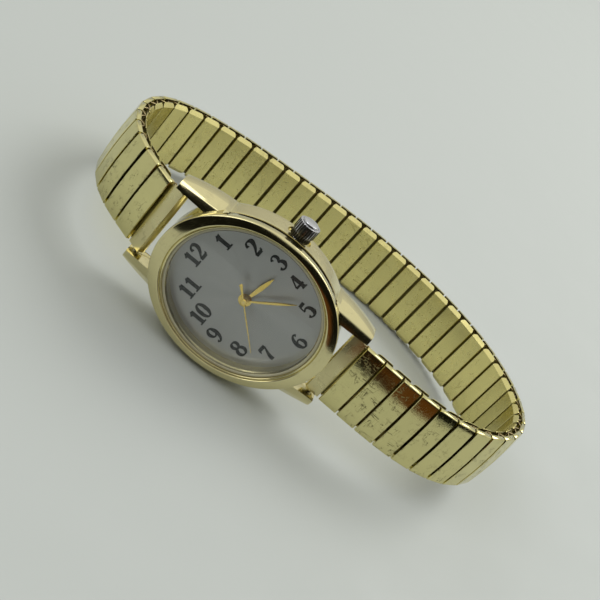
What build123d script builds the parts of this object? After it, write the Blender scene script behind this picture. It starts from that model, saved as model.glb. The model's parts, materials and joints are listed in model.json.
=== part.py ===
"""Ladies' oval quartz watch on an expansion bracelet, laid on its 9 o'clock side.

The watch is modelled dial up: X runs from 12 to 6 o'clock, Y from 9 to 3 o'clock, Z out of the dial.
The bracelet hangs below the head as a closed loop in the XZ plane.
At the end everything is laid down on its 9 o'clock side, as it lies on the table in the photo.
Lengths are in millimetres.
"""
import math
import os

from build123d import *

os.makedirs("parts", exist_ok=True)


def percent_share(s):
    """A share of a named size, given in hundredths."""
    return s / 100


def half_share(s):
    """Half of a named size."""
    return s / 2


# Head: the front seen along Z.
LUG_GAP = 12.0  # between the lugs, a standard ladies' strap width that sets the scale
CASE_HALF_LENGTH = 14.0
FLANK_HALF_WIDTH = 11.6
BEZEL_END_OVERHANG = 0.2
BEZEL_SIDE_INSET = 0.1
BEZEL_END_BREADTH = 2.35
BEZEL_SIDE_BREADTH = 1.25
CASE_END_WALL = 2.05
CASE_SIDE_WALL = 1.3
LUG_LENGTH = 2.8
LUG_TIP_BREADTH = 1.35
LUG_MIDDLE_BREADTH = 2.35
LUG_ROOT_BREADTH = 2.75
LUG_MIDDLE_SETBACK = 4.0
LUG_ROOT_SETBACK = 8.3
LUG_GAP_DEPTH = 5.8
LUG_SLOPE_LENGTH = 7.3
bezel_half_length = CASE_HALF_LENGTH + BEZEL_END_OVERHANG
bezel_half_width = FLANK_HALF_WIDTH - BEZEL_SIDE_INSET
opening_half_length = bezel_half_length - BEZEL_END_BREADTH
opening_half_width = bezel_half_width - BEZEL_SIDE_BREADTH
cavity_half_length = CASE_HALF_LENGTH - CASE_END_WALL
cavity_half_width = FLANK_HALF_WIDTH - CASE_SIDE_WALL
lug_tip_reach = CASE_HALF_LENGTH + LUG_LENGTH
lug_gap_floor_reach = lug_tip_reach - LUG_GAP_DEPTH
lug_slope_start = lug_tip_reach - LUG_SLOPE_LENGTH
lug_middle_reach = lug_tip_reach - LUG_MIDDLE_SETBACK
lug_root_reach = lug_tip_reach - LUG_ROOT_SETBACK
lug_tip_half_width = half_share(LUG_GAP) + LUG_TIP_BREADTH
lug_middle_half_width = half_share(LUG_GAP) + LUG_MIDDLE_BREADTH
lug_root_half_width = half_share(LUG_GAP) + LUG_ROOT_BREADTH

# Head: heights along Z, the dial's face at zero.
BEZEL_TOP = 2.95
BEZEL_SEAT = 0.9
BEZEL_SPIGOT_BOTTOM = 0.4
LUG_ROOT_TOP = 1.75
LUG_TIP_TOP = 0.45
LUG_TIP_BOTTOM = -3.1
LUG_RIDGE_INSET = 0.4
LUG_INNER_RUN = 3.0
LUG_INNER_FALL = 1.35
LUG_OUTER_RUN = 1.6
LUG_OUTER_FALL = 1.9
CASE_BOTTOM_BEVEL = 0.3
CRYSTAL_BOTTOM = 1.75
CRYSTAL_TOP = 3.05
DIAL_THICKNESS = 0.4
CASE_BOTTOM = -3.5
BACK_SEAT = -3.1
BACK_BOTTOM = -4.1

# Fits.
RUNNING_CLEARANCE = 0.05
SEAT_CLEARANCE = 0.04
PIVOT_CLEARANCE = 0.03

# Bezel, crystal, flange and gaskets.
BEZEL_OUTER_BEVEL = 0.75
BEZEL_LIP_BEVEL = 0.3
CRYSTAL_GASKET_WIDTH = 0.4
CRYSTAL_GASKET_HEIGHT = 0.7
CRYSTAL_EDGE_BEVEL = 0.3
FLANGE_BOTTOM_WIDTH = 0.6
FLANGE_TOP_WIDTH = 0.4
BACK_SEAT_WIDTH = 0.75
BACK_EDGE_BEVEL = 0.3
BACK_GASKET_INSET = 0.15
BACK_GASKET_WIDTH = 0.4
BACK_GASKET_HEIGHT = 0.3

# Time shown in the photo, and the hands.
HOUR_HAND_ANGLE = 101.8
MINUTE_HAND_ANGLE = 141.6
SECOND_HAND_ANGLE = 224.4
FULL_TURN = 360
HALF_TURN = 180
QUARTER_TURN = 90
HOUR_HAND_LENGTH = 5.2
MINUTE_HAND_LENGTH = 7.3
SECOND_HAND_LENGTH = 7.6
SECOND_TAIL_LENGTH = 2.4
HOUR_HAND_WIDTH = 1.0
MINUTE_HAND_WIDTH = 0.75
HAND_STEM_WIDTH = 0.32
SECOND_HAND_WIDTH = 0.18
SECOND_TAIL_RADIUS = 0.28
HOUR_HUB_RADIUS = 0.95
MINUTE_HUB_RADIUS = 0.8
SECOND_HUB_RADIUS = 0.45
HAND_THICKNESS = 0.12
HOUR_HAND_HEIGHT = 0.5
MINUTE_HAND_HEIGHT = 0.92
SECOND_HAND_HEIGHT = 1.3
DIAL_HOLE_RADIUS = 0.72
DIAL_FOOT_RADIUS = 0.3
DIAL_FOOT_LENGTH = 0.45
DIAL_FOOT_REACH = 6.6

# Movement plate and bridge.
MOVEMENT_LENGTH = 15.2
MOVEMENT_WIDTH = 13.0
MOVEMENT_CORNER = 3.5
PLATE_TOP = -0.45
PLATE_BOTTOM = -1.5
MOTION_FLOOR = -1.02
MOTION_ROOM = 0.15
BRIDGE_TOP = -2.7
BRIDGE_BOTTOM = -2.95
BRIDGE_LENGTH = 5.6
BRIDGE_WIDTH = 6.2
BRIDGE_CENTRE_X = 1.15
BRIDGE_CORNER = 0.8
BRIDGE_POST_RADIUS = 0.3
PIVOT_RADIUS = 0.12
PIVOT_DEPTH = 0.12
RING_BOTTOM = -3.05

# Wheels: plain rims, each mesh a named gap apart.
MESH_GAP = 0.06
HOUR_WHEEL_RADIUS = 1.3
HOUR_WHEEL_TOP = -0.55
HOUR_WHEEL_THICKNESS = 0.2
HOUR_PIPE_RADIUS = 0.62
HOUR_PIPE_TOP = 0.72
CENTRE_PIPE_RADIUS = 0.42
CENTRE_PIPE_TOP = 1.12
CANNON_RADIUS = 0.54
CANNON_TOP = -0.8
CENTRE_WHEEL_RADIUS = 1.55
CENTRE_WHEEL_TOP = -1.58
CENTRE_WHEEL_THICKNESS = 0.15
MINUTE_WHEEL_TOP = -0.8
MINUTE_WHEEL_THICKNESS = 0.15
MINUTE_PINION_RADIUS = 0.42
MINUTE_POST_RADIUS = 0.18
SECOND_ARBOR_RADIUS = 0.17
SECOND_WHEEL_RADIUS = 1.3
SECOND_WHEEL_TOP = -2.02
SECOND_WHEEL_THICKNESS = 0.12
SECOND_PINION_RADIUS = 0.3
THIRD_WHEEL_RADIUS = 1.55
THIRD_WHEEL_TOP = -1.84
THIRD_WHEEL_THICKNESS = 0.12
THIRD_PINION_RADIUS = 0.3
INTERMEDIATE_WHEEL_RADIUS = 1.1
INTERMEDIATE_WHEEL_TOP = -2.28
INTERMEDIATE_WHEEL_THICKNESS = 0.12
INTERMEDIATE_PINION_RADIUS = 0.25
ROTOR_MAGNET_RADIUS = 0.6
ROTOR_MAGNET_TOP = -1.7
ROTOR_MAGNET_BOTTOM = -2.2
ROTOR_PINION_RADIUS = 0.2
MINUTE_WHEEL_BEARING = 225
THIRD_WHEEL_BEARING = 318
TRAIN_BEARING = 45

# Battery, coil, stator, circuit board and crystal can.
BATTERY_RADIUS = 2.85
BATTERY_X = -4.55
BATTERY_Y = 0.9
BATTERY_TOP = -0.97
BATTERY_BOTTOM = -2.92
BATTERY_CAP_INSET = 0.35
BATTERY_CAP_STEP = 0.3
CLIP_THICKNESS = 0.1
CLIP_WIDTH = 1.6
CLIP_LENGTH = 6.4
COIL_X = 5.6
COIL_RADIUS = 0.75
COIL_TOP_Y = 1.0
COIL_HEIGHT = -1.65
CORE_WIDTH = 0.8
CORE_THICKNESS = 0.18
CORE_EDGE_GAP = 1.5
CORE_FOOT_LENGTH = 1.0
CORE_TOP_Y = 3.4
STATOR_THICKNESS = 0.3
STATOR_HOLE_RADIUS = 0.8
STATOR_LEFT = 1.0
STATOR_RIGHT = 6.2
STATOR_TOP_Y = 3.6
STATOR_ARM_LEFT = 3.5
STATOR_ARM_WIDTH = 1.0
BOARD_THICKNESS = 0.15
BOARD_TOP = -2.62
BOARD_LENGTH = 8.6
BOARD_EDGE_GAP = 0.3
BOARD_BRIDGE_GAP = 0.1
BOARD_X = -1.2
CAN_RADIUS = 0.5
CAN_LENGTH = 3.6
CAN_X = -1.6
CAN_EDGE_GAP = 0.9

# Crown and keyless work, the stem along Y.
STEM_HEIGHT = -1.1
STEM_RADIUS = 0.35
STEM_TIP_LENGTH = 1.0
CROWN_PULL = 0.8
CROWN_RADIUS = 1.65
CROWN_SINK = 0.25
CROWN_LENGTH = 2.95
crown_base_y = FLANK_HALF_WIDTH - CROWN_SINK
crown_tip_y = crown_base_y + CROWN_LENGTH
CROWN_FACE_THICKNESS = 0.9
CROWN_SKIRT_ROOM = 1.05
CROWN_TEETH = 22
CROWN_TOOTH_DEPTH = 0.14
CROWN_CAP_BEVEL = 0.3
TUBE_RADIUS = 0.8
TUBE_INNER_STEP = 0.05
TUBE_STAND_OUT = 1.3
CROWN_GASKET_STAND_OUT = 0.6
tube_inner_y = cavity_half_width + TUBE_INNER_STEP
tube_outer_y = FLANK_HALF_WIDTH + TUBE_STAND_OUT
crown_gasket_y = FLANK_HALF_WIDTH + CROWN_GASKET_STAND_OUT
CROWN_GASKET_LENGTH = 0.35
NOTCH_RADIUS = 1.95
NOTCH_DEPTH = 0.5
notch_floor_y = FLANK_HALF_WIDTH - NOTCH_DEPTH
CLUTCH_RADIUS = 0.62
CLUTCH_LEVER_GAP = 1.2
CLUTCH_LENGTH = 0.7
LEVER_PIVOT_X = 2.2
LEVER_EDGE_GAP = 0.5
LEVER_WIDTH = 0.35
LEVER_FINGER_X = 0.2
LEVER_THICKNESS = 0.3
LEVER_BOSS_RADIUS = 0.45
LEVER_POST_RADIUS = 0.2
GROOVE_RADIUS = 0.14
GROOVE_WIDTH = 0.62
SLOT_HALF_WIDTH = 0.5

# Spring bars and end pieces.
BAR_TIP_INSET = 1.1
bar_reach = lug_tip_reach - BAR_TIP_INSET
BAR_HEIGHT = -1.95
BAR_RADIUS = 0.62
BAR_BODY_LENGTH = 11.4
BAR_PIN_RADIUS = 0.35
BAR_PIN_LENGTH = 0.9
END_TUBE_RADIUS = 1.0
END_WIDTH = 11.0
END_PLATE_THICKNESS = 0.2
END_PLATE_START = -0.85
END_PLATE_END = 1.35
END_TONGUE_START = 0.85
TONGUE_OVERREACH = 0.12
END_TURN_12 = 32

# Bracelet links: outer caps over inner shells, half a pitch apart, tied by edge staples.
LINK_COUNT = 46
LINKS_PER_SEGMENT = 2
OUTER_WIDTH = 11.0
INNER_WIDTH = 9.9
CAP_LENGTH = 2.95
SHELL_LENGTH = 2.82
ROW_GAP_HALF = 0.15
CAP_HEIGHT = 1.05
SHELL_HEIGHT = 1.0
SHEET = 0.18
CAP_CROWN = 0.26
CAP_END_ROUNDING = 0.3
CAP_NOTCH_DEPTH = 0.5
SHELL_END_ROUNDING = 0.38
SHELL_WINDOW_BOTTOM = -0.77
STAPLE_WIRE = 0.25
STAPLE_LEG = 1.6
STAPLE_BRIDGE_REACH = 5.3
STAPLE_INNER_U = -0.65
STAPLE_OUTER_U = 0.55
STAPLE_INNER_V = -0.58
STAPLE_OUTER_V = 0.54
LEAF_THICKNESS = 0.1
LEAF_WIDTH = 1.7
LEAF_HALF_LENGTH = 4.6
LEAF_BOW = 0.12
JOINT_TRAVEL = 0.9

# Bracelet loop: the course of the middle between the two rows of links.
CHAIN_START_U = 1.55
CHAIN_START_V = 0.62
LOOP_REACH_6 = 46.1
LOOP_REACH_12 = 28.1
LOOP_DEPTH = 40.2
START_TANGENT_WEIGHT = 0.5
END_TANGENT_WEIGHT = 0.5


# Head frame helpers.
def clock_direction(angle_past_12):
    """Unit vector on the dial at an angle past 12, in degrees; 12 lies toward -X and 3 toward +Y."""
    bearing = math.radians(angle_past_12)
    return Vector(-math.cos(bearing), math.sin(bearing), 0)


def polar_point(bearing_degrees, distance):
    """Point of the dial plane at a bearing from +X and a distance from the hands' axis."""
    bearing = math.radians(bearing_degrees)
    return (distance * math.cos(bearing), distance * math.sin(bearing))


def level(height):
    """Plane parallel to the dial at a height."""
    return Plane.XY.offset(height)


def oval_ring(outer_length, outer_width, inner_length, inner_width):
    """Oval sketch with an oval hole."""
    Ellipse(outer_length, outer_width)
    Ellipse(inner_length, inner_width, mode=Mode.SUBTRACT)


def disc(radius, bottom, top, place=(0, 0), mode=Mode.ADD):
    """Round disc or hole between two heights, at a place on the dial plane."""
    with BuildSketch(level(bottom)) as outline:
        with Locations(place):
            Circle(radius)
    extrude(outline.sketch, amount=top - bottom, mode=mode)


def block(left, right, low, high, bottom, top, mode=Mode.ADD):
    """Straight block between two X, two Y and two Z positions."""
    with BuildSketch(level(bottom)) as outline:
        with Locations((half_share(left + right), half_share(low + high))):
            Rectangle(right - left, high - low)
    extrude(outline.sketch, amount=top - bottom, mode=mode)


def stem_plane(y):
    """Plane across the stem's axis, looking outward along +Y."""
    return Plane(origin=(0, y, STEM_HEIGHT), x_dir=(1, 0, 0), z_dir=(0, 1, 0))


def stem_disc(radius, start, end, mode=Mode.ADD):
    """Round piece on the stem's axis between two Y positions."""
    with BuildSketch(stem_plane(start)) as outline:
        Circle(radius)
    extrude(outline.sketch, amount=end - start, mode=mode)


# Roofs of the four lugs: two facets fall from a ridge that itself falls toward the tip.
with BuildPart() as lug_roof_cut:
    for side in (1, -1):
        for edge in (1, -1):
            ridge_root = Vector(
                side * lug_slope_start, edge * (lug_root_half_width - LUG_RIDGE_INSET), LUG_ROOT_TOP
            )
            ridge_tip = Vector(side * lug_tip_reach, edge * (lug_tip_half_width - LUG_RIDGE_INSET), LUG_TIP_TOP)
            outward = side * edge
            with BuildSketch(Plane(origin=ridge_root, x_dir=(0, side, 0), z_dir=ridge_tip - ridge_root)):
                Polygon(
                    (0, 0),
                    (outward * LUG_OUTER_RUN, -LUG_OUTER_FALL),
                    (outward * LUG_OUTER_RUN, LUG_INNER_RUN),
                    (-outward * LUG_INNER_RUN, LUG_INNER_RUN),
                    (-outward * LUG_INNER_RUN, -LUG_INNER_FALL),
                    align=None,
                )
            extrude(amount=LUG_SLOPE_LENGTH + LUG_LENGTH)
    with BuildSketch(level(CASE_BOTTOM)):
        Ellipse(bezel_half_length, bezel_half_width)
    extrude(amount=BEZEL_TOP - CASE_BOTTOM + LUG_INNER_RUN, mode=Mode.SUBTRACT)

# Case middle: an oval body with four lugs whose outer sides swell and then close toward the tips.
with BuildPart() as case_middle:
    with BuildSketch(level(CASE_BOTTOM)):
        Ellipse(CASE_HALF_LENGTH, FLANK_HALF_WIDTH)
    extrude(amount=BEZEL_SEAT - CASE_BOTTOM)
    chamfer(case_middle.faces().sort_by(Axis.Z)[0].edges(), CASE_BOTTOM_BEVEL)
    with BuildSketch(level(CASE_BOTTOM)):
        for side in (1, -1):
            with BuildLine():
                crown_flank = ThreePointArc(
                    (side * lug_root_reach, lug_root_half_width),
                    (side * lug_middle_reach, lug_middle_half_width),
                    (side * lug_tip_reach, lug_tip_half_width),
                )
                lower_flank = ThreePointArc(
                    (side * lug_tip_reach, -lug_tip_half_width),
                    (side * lug_middle_reach, -lug_middle_half_width),
                    (side * lug_root_reach, -lug_root_half_width),
                )
                Line(crown_flank @ 1, lower_flank @ 0)
                Line(lower_flank @ 1, crown_flank @ 0)
            make_face()
        gap_length = LUG_GAP_DEPTH
        gap_centre = half_share(lug_tip_reach + lug_gap_floor_reach)
        with Locations((gap_centre, 0), (-gap_centre, 0)):
            Rectangle(gap_length, LUG_GAP, mode=Mode.SUBTRACT)
    extrude(amount=LUG_ROOT_TOP - CASE_BOTTOM)
    # The lugs rise a little toward their tips on the back.
    for side in (1, -1):
        with BuildSketch(Plane.XZ):
            with BuildLine():
                Polyline(
                    (side * lug_slope_start, CASE_BOTTOM),
                    (side * lug_tip_reach, LUG_TIP_BOTTOM),
                    (side * (lug_tip_reach + CASE_HALF_LENGTH), LUG_TIP_BOTTOM),
                    (side * (lug_tip_reach + CASE_HALF_LENGTH), CASE_BOTTOM),
                    close=True,
                )
            make_face()
        extrude(amount=CASE_HALF_LENGTH, both=True, mode=Mode.SUBTRACT)
    add(lug_roof_cut.part, mode=Mode.SUBTRACT)
    # Seat of the bezel, the cavity for the works and the seat of the case back.
    with BuildSketch(level(BEZEL_SEAT)):
        Ellipse(bezel_half_length + RUNNING_CLEARANCE, bezel_half_width + RUNNING_CLEARANCE)
    extrude(amount=LUG_ROOT_TOP - BEZEL_SEAT, mode=Mode.SUBTRACT)
    with BuildSketch(level(CASE_BOTTOM)):
        Ellipse(cavity_half_length, cavity_half_width)
    extrude(amount=LUG_ROOT_TOP - CASE_BOTTOM, mode=Mode.SUBTRACT)
    with BuildSketch(level(CASE_BOTTOM)):
        Ellipse(cavity_half_length + BACK_SEAT_WIDTH, cavity_half_width + BACK_SEAT_WIDTH)
    extrude(amount=BACK_SEAT - CASE_BOTTOM, mode=Mode.SUBTRACT)
    # Notch under the crown, hole for its tube, and the blind holes of the spring bars.
    stem_disc(NOTCH_RADIUS, notch_floor_y, FLANK_HALF_WIDTH + NOTCH_RADIUS, mode=Mode.SUBTRACT)
    stem_disc(TUBE_RADIUS, cavity_half_width - NOTCH_RADIUS, FLANK_HALF_WIDTH, mode=Mode.SUBTRACT)
    bar_span = half_share(BAR_BODY_LENGTH) + BAR_PIN_LENGTH + RUNNING_CLEARANCE
    with BuildSketch(Plane.XZ):
        with Locations((bar_reach, BAR_HEIGHT), (-bar_reach, BAR_HEIGHT)):
            Circle(BAR_PIN_RADIUS + RUNNING_CLEARANCE)
    extrude(amount=bar_span, both=True, mode=Mode.SUBTRACT)

# Bezel: oval ring with a broad outer bevel and a small inner lip, standing on a spigot.
with BuildPart() as bezel:
    with BuildSketch(level(BEZEL_SEAT)):
        oval_ring(bezel_half_length, bezel_half_width, opening_half_length, opening_half_width)
    extrude(amount=BEZEL_TOP - BEZEL_SEAT)
    top_edges = bezel.faces().sort_by(Axis.Z)[-1].edges().sort_by(SortBy.LENGTH)
    chamfer(top_edges[-1], BEZEL_OUTER_BEVEL)
    chamfer(bezel.faces().sort_by(Axis.Z)[-1].edges().sort_by(SortBy.LENGTH)[0], BEZEL_LIP_BEVEL)
    with BuildSketch(level(BEZEL_SPIGOT_BOTTOM)):
        oval_ring(
            cavity_half_length - SEAT_CLEARANCE,
            cavity_half_width - SEAT_CLEARANCE,
            opening_half_length,
            opening_half_width,
        )
    extrude(amount=BEZEL_SEAT - BEZEL_SPIGOT_BOTTOM)

# Crystal and the gasket that holds it in the bezel.
crystal_half_length = opening_half_length - CRYSTAL_GASKET_WIDTH
crystal_half_width = opening_half_width - CRYSTAL_GASKET_WIDTH
with BuildPart() as crystal:
    with BuildSketch(level(CRYSTAL_BOTTOM)):
        Ellipse(crystal_half_length, crystal_half_width)
    extrude(amount=CRYSTAL_TOP - CRYSTAL_BOTTOM)
    chamfer(crystal.faces().sort_by(Axis.Z)[-1].edges(), CRYSTAL_EDGE_BEVEL)

with BuildPart() as crystal_gasket:
    with BuildSketch(level(CRYSTAL_BOTTOM)):
        oval_ring(opening_half_length, opening_half_width, crystal_half_length, crystal_half_width)
    extrude(amount=CRYSTAL_GASKET_HEIGHT)

# Flange ring between dial and crystal.
with BuildPart() as dial_ring:
    flange_half_length = opening_half_length - SEAT_CLEARANCE
    flange_half_width = opening_half_width - SEAT_CLEARANCE
    with BuildSketch(level(0)):
        oval_ring(
            flange_half_length,
            flange_half_width,
            flange_half_length - FLANGE_BOTTOM_WIDTH,
            flange_half_width - FLANGE_BOTTOM_WIDTH,
        )
    extrude(amount=CRYSTAL_BOTTOM)
    inner_rim = dial_ring.faces().sort_by(Axis.Z)[-1].edges().sort_by(SortBy.LENGTH)[0]
    chamfer(inner_rim, FLANGE_BOTTOM_WIDTH - FLANGE_TOP_WIDTH)

# Dial on two feet.
with BuildPart() as dial:
    with BuildSketch(level(-DIAL_THICKNESS)):
        Ellipse(cavity_half_length - RUNNING_CLEARANCE, cavity_half_width - RUNNING_CLEARANCE)
        Circle(DIAL_HOLE_RADIUS, mode=Mode.SUBTRACT)
    extrude(amount=DIAL_THICKNESS)
    for side in (1, -1):
        foot_place = (side * DIAL_FOOT_REACH, -side * half_share(half_share(DIAL_FOOT_REACH)))
        disc(DIAL_FOOT_RADIUS, -DIAL_THICKNESS - DIAL_FOOT_LENGTH, -DIAL_THICKNESS, foot_place)


def hand_blade(length, width, hub_radius, bore, height, direction):
    """Leaf-shaped hand from its hub ring to its tip, along a direction on the dial."""
    plane = Plane(origin=(0, 0, height), x_dir=tuple(direction), z_dir=(0, 0, 1))
    with BuildSketch(plane) as outline:
        Circle(hub_radius)
        with BuildLine():
            Polyline(
                (0, half_share(HAND_STEM_WIDTH)),
                (percent_share(28) * length, half_share(HAND_STEM_WIDTH)),
                (percent_share(52) * length, half_share(width)),
                (length, 0),
                (percent_share(52) * length, -half_share(width)),
                (percent_share(28) * length, -half_share(HAND_STEM_WIDTH)),
                (0, -half_share(HAND_STEM_WIDTH)),
                close=True,
            )
        make_face()
        Circle(bore, mode=Mode.SUBTRACT)
    extrude(outline.sketch, amount=HAND_THICKNESS)


with BuildPart() as hour_hand:
    hand_blade(
        HOUR_HAND_LENGTH, HOUR_HAND_WIDTH, HOUR_HUB_RADIUS, HOUR_PIPE_RADIUS, HOUR_HAND_HEIGHT,
        clock_direction(HOUR_HAND_ANGLE),
    )

with BuildPart() as minute_hand:
    hand_blade(
        MINUTE_HAND_LENGTH, MINUTE_HAND_WIDTH, MINUTE_HUB_RADIUS, CENTRE_PIPE_RADIUS, MINUTE_HAND_HEIGHT,
        clock_direction(MINUTE_HAND_ANGLE),
    )

with BuildPart() as second_hand:
    second_direction = tuple(clock_direction(SECOND_HAND_ANGLE))
    with BuildSketch(Plane(origin=(0, 0, SECOND_HAND_HEIGHT), x_dir=second_direction, z_dir=(0, 0, 1))):
        Circle(SECOND_HUB_RADIUS)
        with Locations((half_share(SECOND_HAND_LENGTH - SECOND_TAIL_LENGTH), 0)):
            Rectangle(SECOND_HAND_LENGTH + SECOND_TAIL_LENGTH, SECOND_HAND_WIDTH)
        with Locations((-SECOND_TAIL_LENGTH, 0)):
            Circle(SECOND_TAIL_RADIUS)
        Circle(SECOND_ARBOR_RADIUS, mode=Mode.SUBTRACT)
    extrude(amount=HAND_THICKNESS)

# Case back with its gasket.
back_half_length = cavity_half_length + BACK_SEAT_WIDTH - SEAT_CLEARANCE
back_half_width = cavity_half_width + BACK_SEAT_WIDTH - SEAT_CLEARANCE
gasket_inner_length = cavity_half_length + BACK_GASKET_INSET
gasket_inner_width = cavity_half_width + BACK_GASKET_INSET
with BuildPart() as case_back:
    with BuildSketch(level(BACK_BOTTOM)):
        Ellipse(back_half_length, back_half_width)
    extrude(amount=BACK_SEAT - BACK_BOTTOM)
    chamfer(case_back.faces().sort_by(Axis.Z)[0].edges(), BACK_EDGE_BEVEL)
    with BuildSketch(level(BACK_SEAT - BACK_GASKET_HEIGHT)):
        oval_ring(
            gasket_inner_length + BACK_GASKET_WIDTH,
            gasket_inner_width + BACK_GASKET_WIDTH,
            gasket_inner_length,
            gasket_inner_width,
        )
    extrude(amount=BACK_GASKET_HEIGHT, mode=Mode.SUBTRACT)

with BuildPart() as case_back_gasket:
    with BuildSketch(level(BACK_SEAT - BACK_GASKET_HEIGHT)):
        oval_ring(
            gasket_inner_length + BACK_GASKET_WIDTH,
            gasket_inner_width + BACK_GASKET_WIDTH,
            gasket_inner_length,
            gasket_inner_width,
        )
    extrude(amount=BACK_GASKET_HEIGHT)

# Movement ring: holds the movement in the case and carries the dial.
with BuildPart() as movement_ring:
    with BuildSketch(level(RING_BOTTOM)):
        Ellipse(cavity_half_length - RUNNING_CLEARANCE, cavity_half_width - RUNNING_CLEARANCE)
        RectangleRounded(
            MOVEMENT_LENGTH + RUNNING_CLEARANCE,
            MOVEMENT_WIDTH + RUNNING_CLEARANCE,
            MOVEMENT_CORNER,
            mode=Mode.SUBTRACT,
        )
    extrude(amount=-DIAL_THICKNESS - RING_BOTTOM)
    block(
        -SLOT_HALF_WIDTH, SLOT_HALF_WIDTH, half_share(MOVEMENT_WIDTH) - CLUTCH_LENGTH, FLANK_HALF_WIDTH,
        STEM_HEIGHT - SLOT_HALF_WIDTH, -DIAL_THICKNESS, mode=Mode.SUBTRACT,
    )
    block(
        -SLOT_HALF_WIDTH, LEVER_PIVOT_X + LEVER_BOSS_RADIUS, half_share(MOVEMENT_WIDTH) - LEVER_EDGE_GAP,
        half_share(MOVEMENT_WIDTH) - LEVER_EDGE_GAP + CROWN_PULL + half_share(LEVER_WIDTH) + MOTION_ROOM,
        STEM_HEIGHT - half_share(LEVER_THICKNESS) - SEAT_CLEARANCE, -DIAL_THICKNESS, mode=Mode.SUBTRACT,
    )

# Places of the wheels.
minute_wheel_distance = HOUR_WHEEL_RADIUS + MINUTE_PINION_RADIUS + MESH_GAP
minute_wheel_radius = minute_wheel_distance - CANNON_RADIUS - MESH_GAP
minute_wheel_place = polar_point(MINUTE_WHEEL_BEARING, minute_wheel_distance)
third_wheel_distance = CENTRE_WHEEL_RADIUS + THIRD_PINION_RADIUS + MESH_GAP
third_wheel_place = polar_point(THIRD_WHEEL_BEARING, third_wheel_distance)
intermediate_distance = SECOND_WHEEL_RADIUS + INTERMEDIATE_PINION_RADIUS + MESH_GAP
intermediate_place = polar_point(TRAIN_BEARING, intermediate_distance)
rotor_distance = intermediate_distance + INTERMEDIATE_WHEEL_RADIUS + ROTOR_PINION_RADIUS + MESH_GAP
rotor_place = polar_point(TRAIN_BEARING, rotor_distance)
arbor_places = (third_wheel_place, intermediate_place, rotor_place)
post_percent_shares = ((-84, -77), (70, -81), (-73, 84))
post_places = []
for along_share, across_share in post_percent_shares:
    post_places.append((
        BRIDGE_CENTRE_X + percent_share(along_share) * half_share(BRIDGE_LENGTH),
        percent_share(across_share) * half_share(BRIDGE_WIDTH),
    ))
stator_top = COIL_HEIGHT - half_share(CORE_THICKNESS)
core_bottom_y = CORE_EDGE_GAP - half_share(MOVEMENT_WIDTH)
coil_bottom_y = core_bottom_y + CORE_FOOT_LENGTH
board_low_y = BOARD_EDGE_GAP - half_share(MOVEMENT_WIDTH)
board_high_y = -half_share(BRIDGE_WIDTH) - BOARD_BRIDGE_GAP
can_y = board_low_y + CAN_EDGE_GAP + CAN_RADIUS
lever_y = half_share(MOVEMENT_WIDTH) - LEVER_EDGE_GAP
clutch_y = lever_y - CLUTCH_LEVER_GAP - CLUTCH_LENGTH
stem_inner_end = clutch_y - STEM_TIP_LENGTH

with BuildPart() as main_plate:
    with BuildSketch(level(PLATE_BOTTOM)):
        RectangleRounded(MOVEMENT_LENGTH, MOVEMENT_WIDTH, MOVEMENT_CORNER)
    extrude(amount=PLATE_TOP - PLATE_BOTTOM)
    disc(CENTRE_PIPE_RADIUS + RUNNING_CLEARANCE, PLATE_BOTTOM, PLATE_TOP, mode=Mode.SUBTRACT)
    with BuildSketch(level(MOTION_FLOOR)):
        Circle(HOUR_WHEEL_RADIUS + MOTION_ROOM)
        with Locations(minute_wheel_place):
            Circle(minute_wheel_radius + MOTION_ROOM)
    extrude(amount=PLATE_TOP - MOTION_FLOOR, mode=Mode.SUBTRACT)
    disc(MINUTE_POST_RADIUS, MOTION_FLOOR, HOUR_WHEEL_TOP, minute_wheel_place)
    disc(
        BATTERY_RADIUS + RUNNING_CLEARANCE, PLATE_BOTTOM, BATTERY_TOP + SEAT_CLEARANCE, (BATTERY_X, BATTERY_Y),
        mode=Mode.SUBTRACT,
    )
    block(
        COIL_X - COIL_RADIUS - RUNNING_CLEARANCE, COIL_X + COIL_RADIUS + RUNNING_CLEARANCE,
        coil_bottom_y - RUNNING_CLEARANCE, COIL_TOP_Y + RUNNING_CLEARANCE,
        PLATE_BOTTOM, PLATE_TOP, mode=Mode.SUBTRACT,
    )
    block(
        -SLOT_HALF_WIDTH, SLOT_HALF_WIDTH, stem_inner_end - RUNNING_CLEARANCE, half_share(MOVEMENT_WIDTH),
        PLATE_BOTTOM, PLATE_TOP, mode=Mode.SUBTRACT,
    )
    block(
        -CLUTCH_RADIUS - MOTION_ROOM, CLUTCH_RADIUS + MOTION_ROOM, clutch_y - RUNNING_CLEARANCE,
        clutch_y + CLUTCH_LENGTH + RUNNING_CLEARANCE, PLATE_BOTTOM, PLATE_TOP, mode=Mode.SUBTRACT,
    )
    block(
        -SLOT_HALF_WIDTH, LEVER_PIVOT_X + LEVER_BOSS_RADIUS + MOTION_ROOM,
        lever_y - LEVER_BOSS_RADIUS - MOTION_ROOM, half_share(MOVEMENT_WIDTH),
        STEM_HEIGHT - half_share(LEVER_THICKNESS) - SEAT_CLEARANCE, PLATE_TOP, mode=Mode.SUBTRACT,
    )
    disc(
        LEVER_POST_RADIUS, PLATE_BOTTOM, STEM_HEIGHT + half_share(LEVER_THICKNESS), (LEVER_PIVOT_X, lever_y)
    )
    for place in arbor_places:
        disc(PIVOT_RADIUS + PIVOT_CLEARANCE, PLATE_BOTTOM, PLATE_BOTTOM + PIVOT_DEPTH, place, mode=Mode.SUBTRACT)
    for side in (1, -1):
        foot_place = (side * DIAL_FOOT_REACH, -side * half_share(half_share(DIAL_FOOT_REACH)))
        disc(
            DIAL_FOOT_RADIUS + RUNNING_CLEARANCE, -DIAL_THICKNESS - DIAL_FOOT_LENGTH - SEAT_CLEARANCE, PLATE_TOP,
            foot_place, mode=Mode.SUBTRACT,
        )

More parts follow.
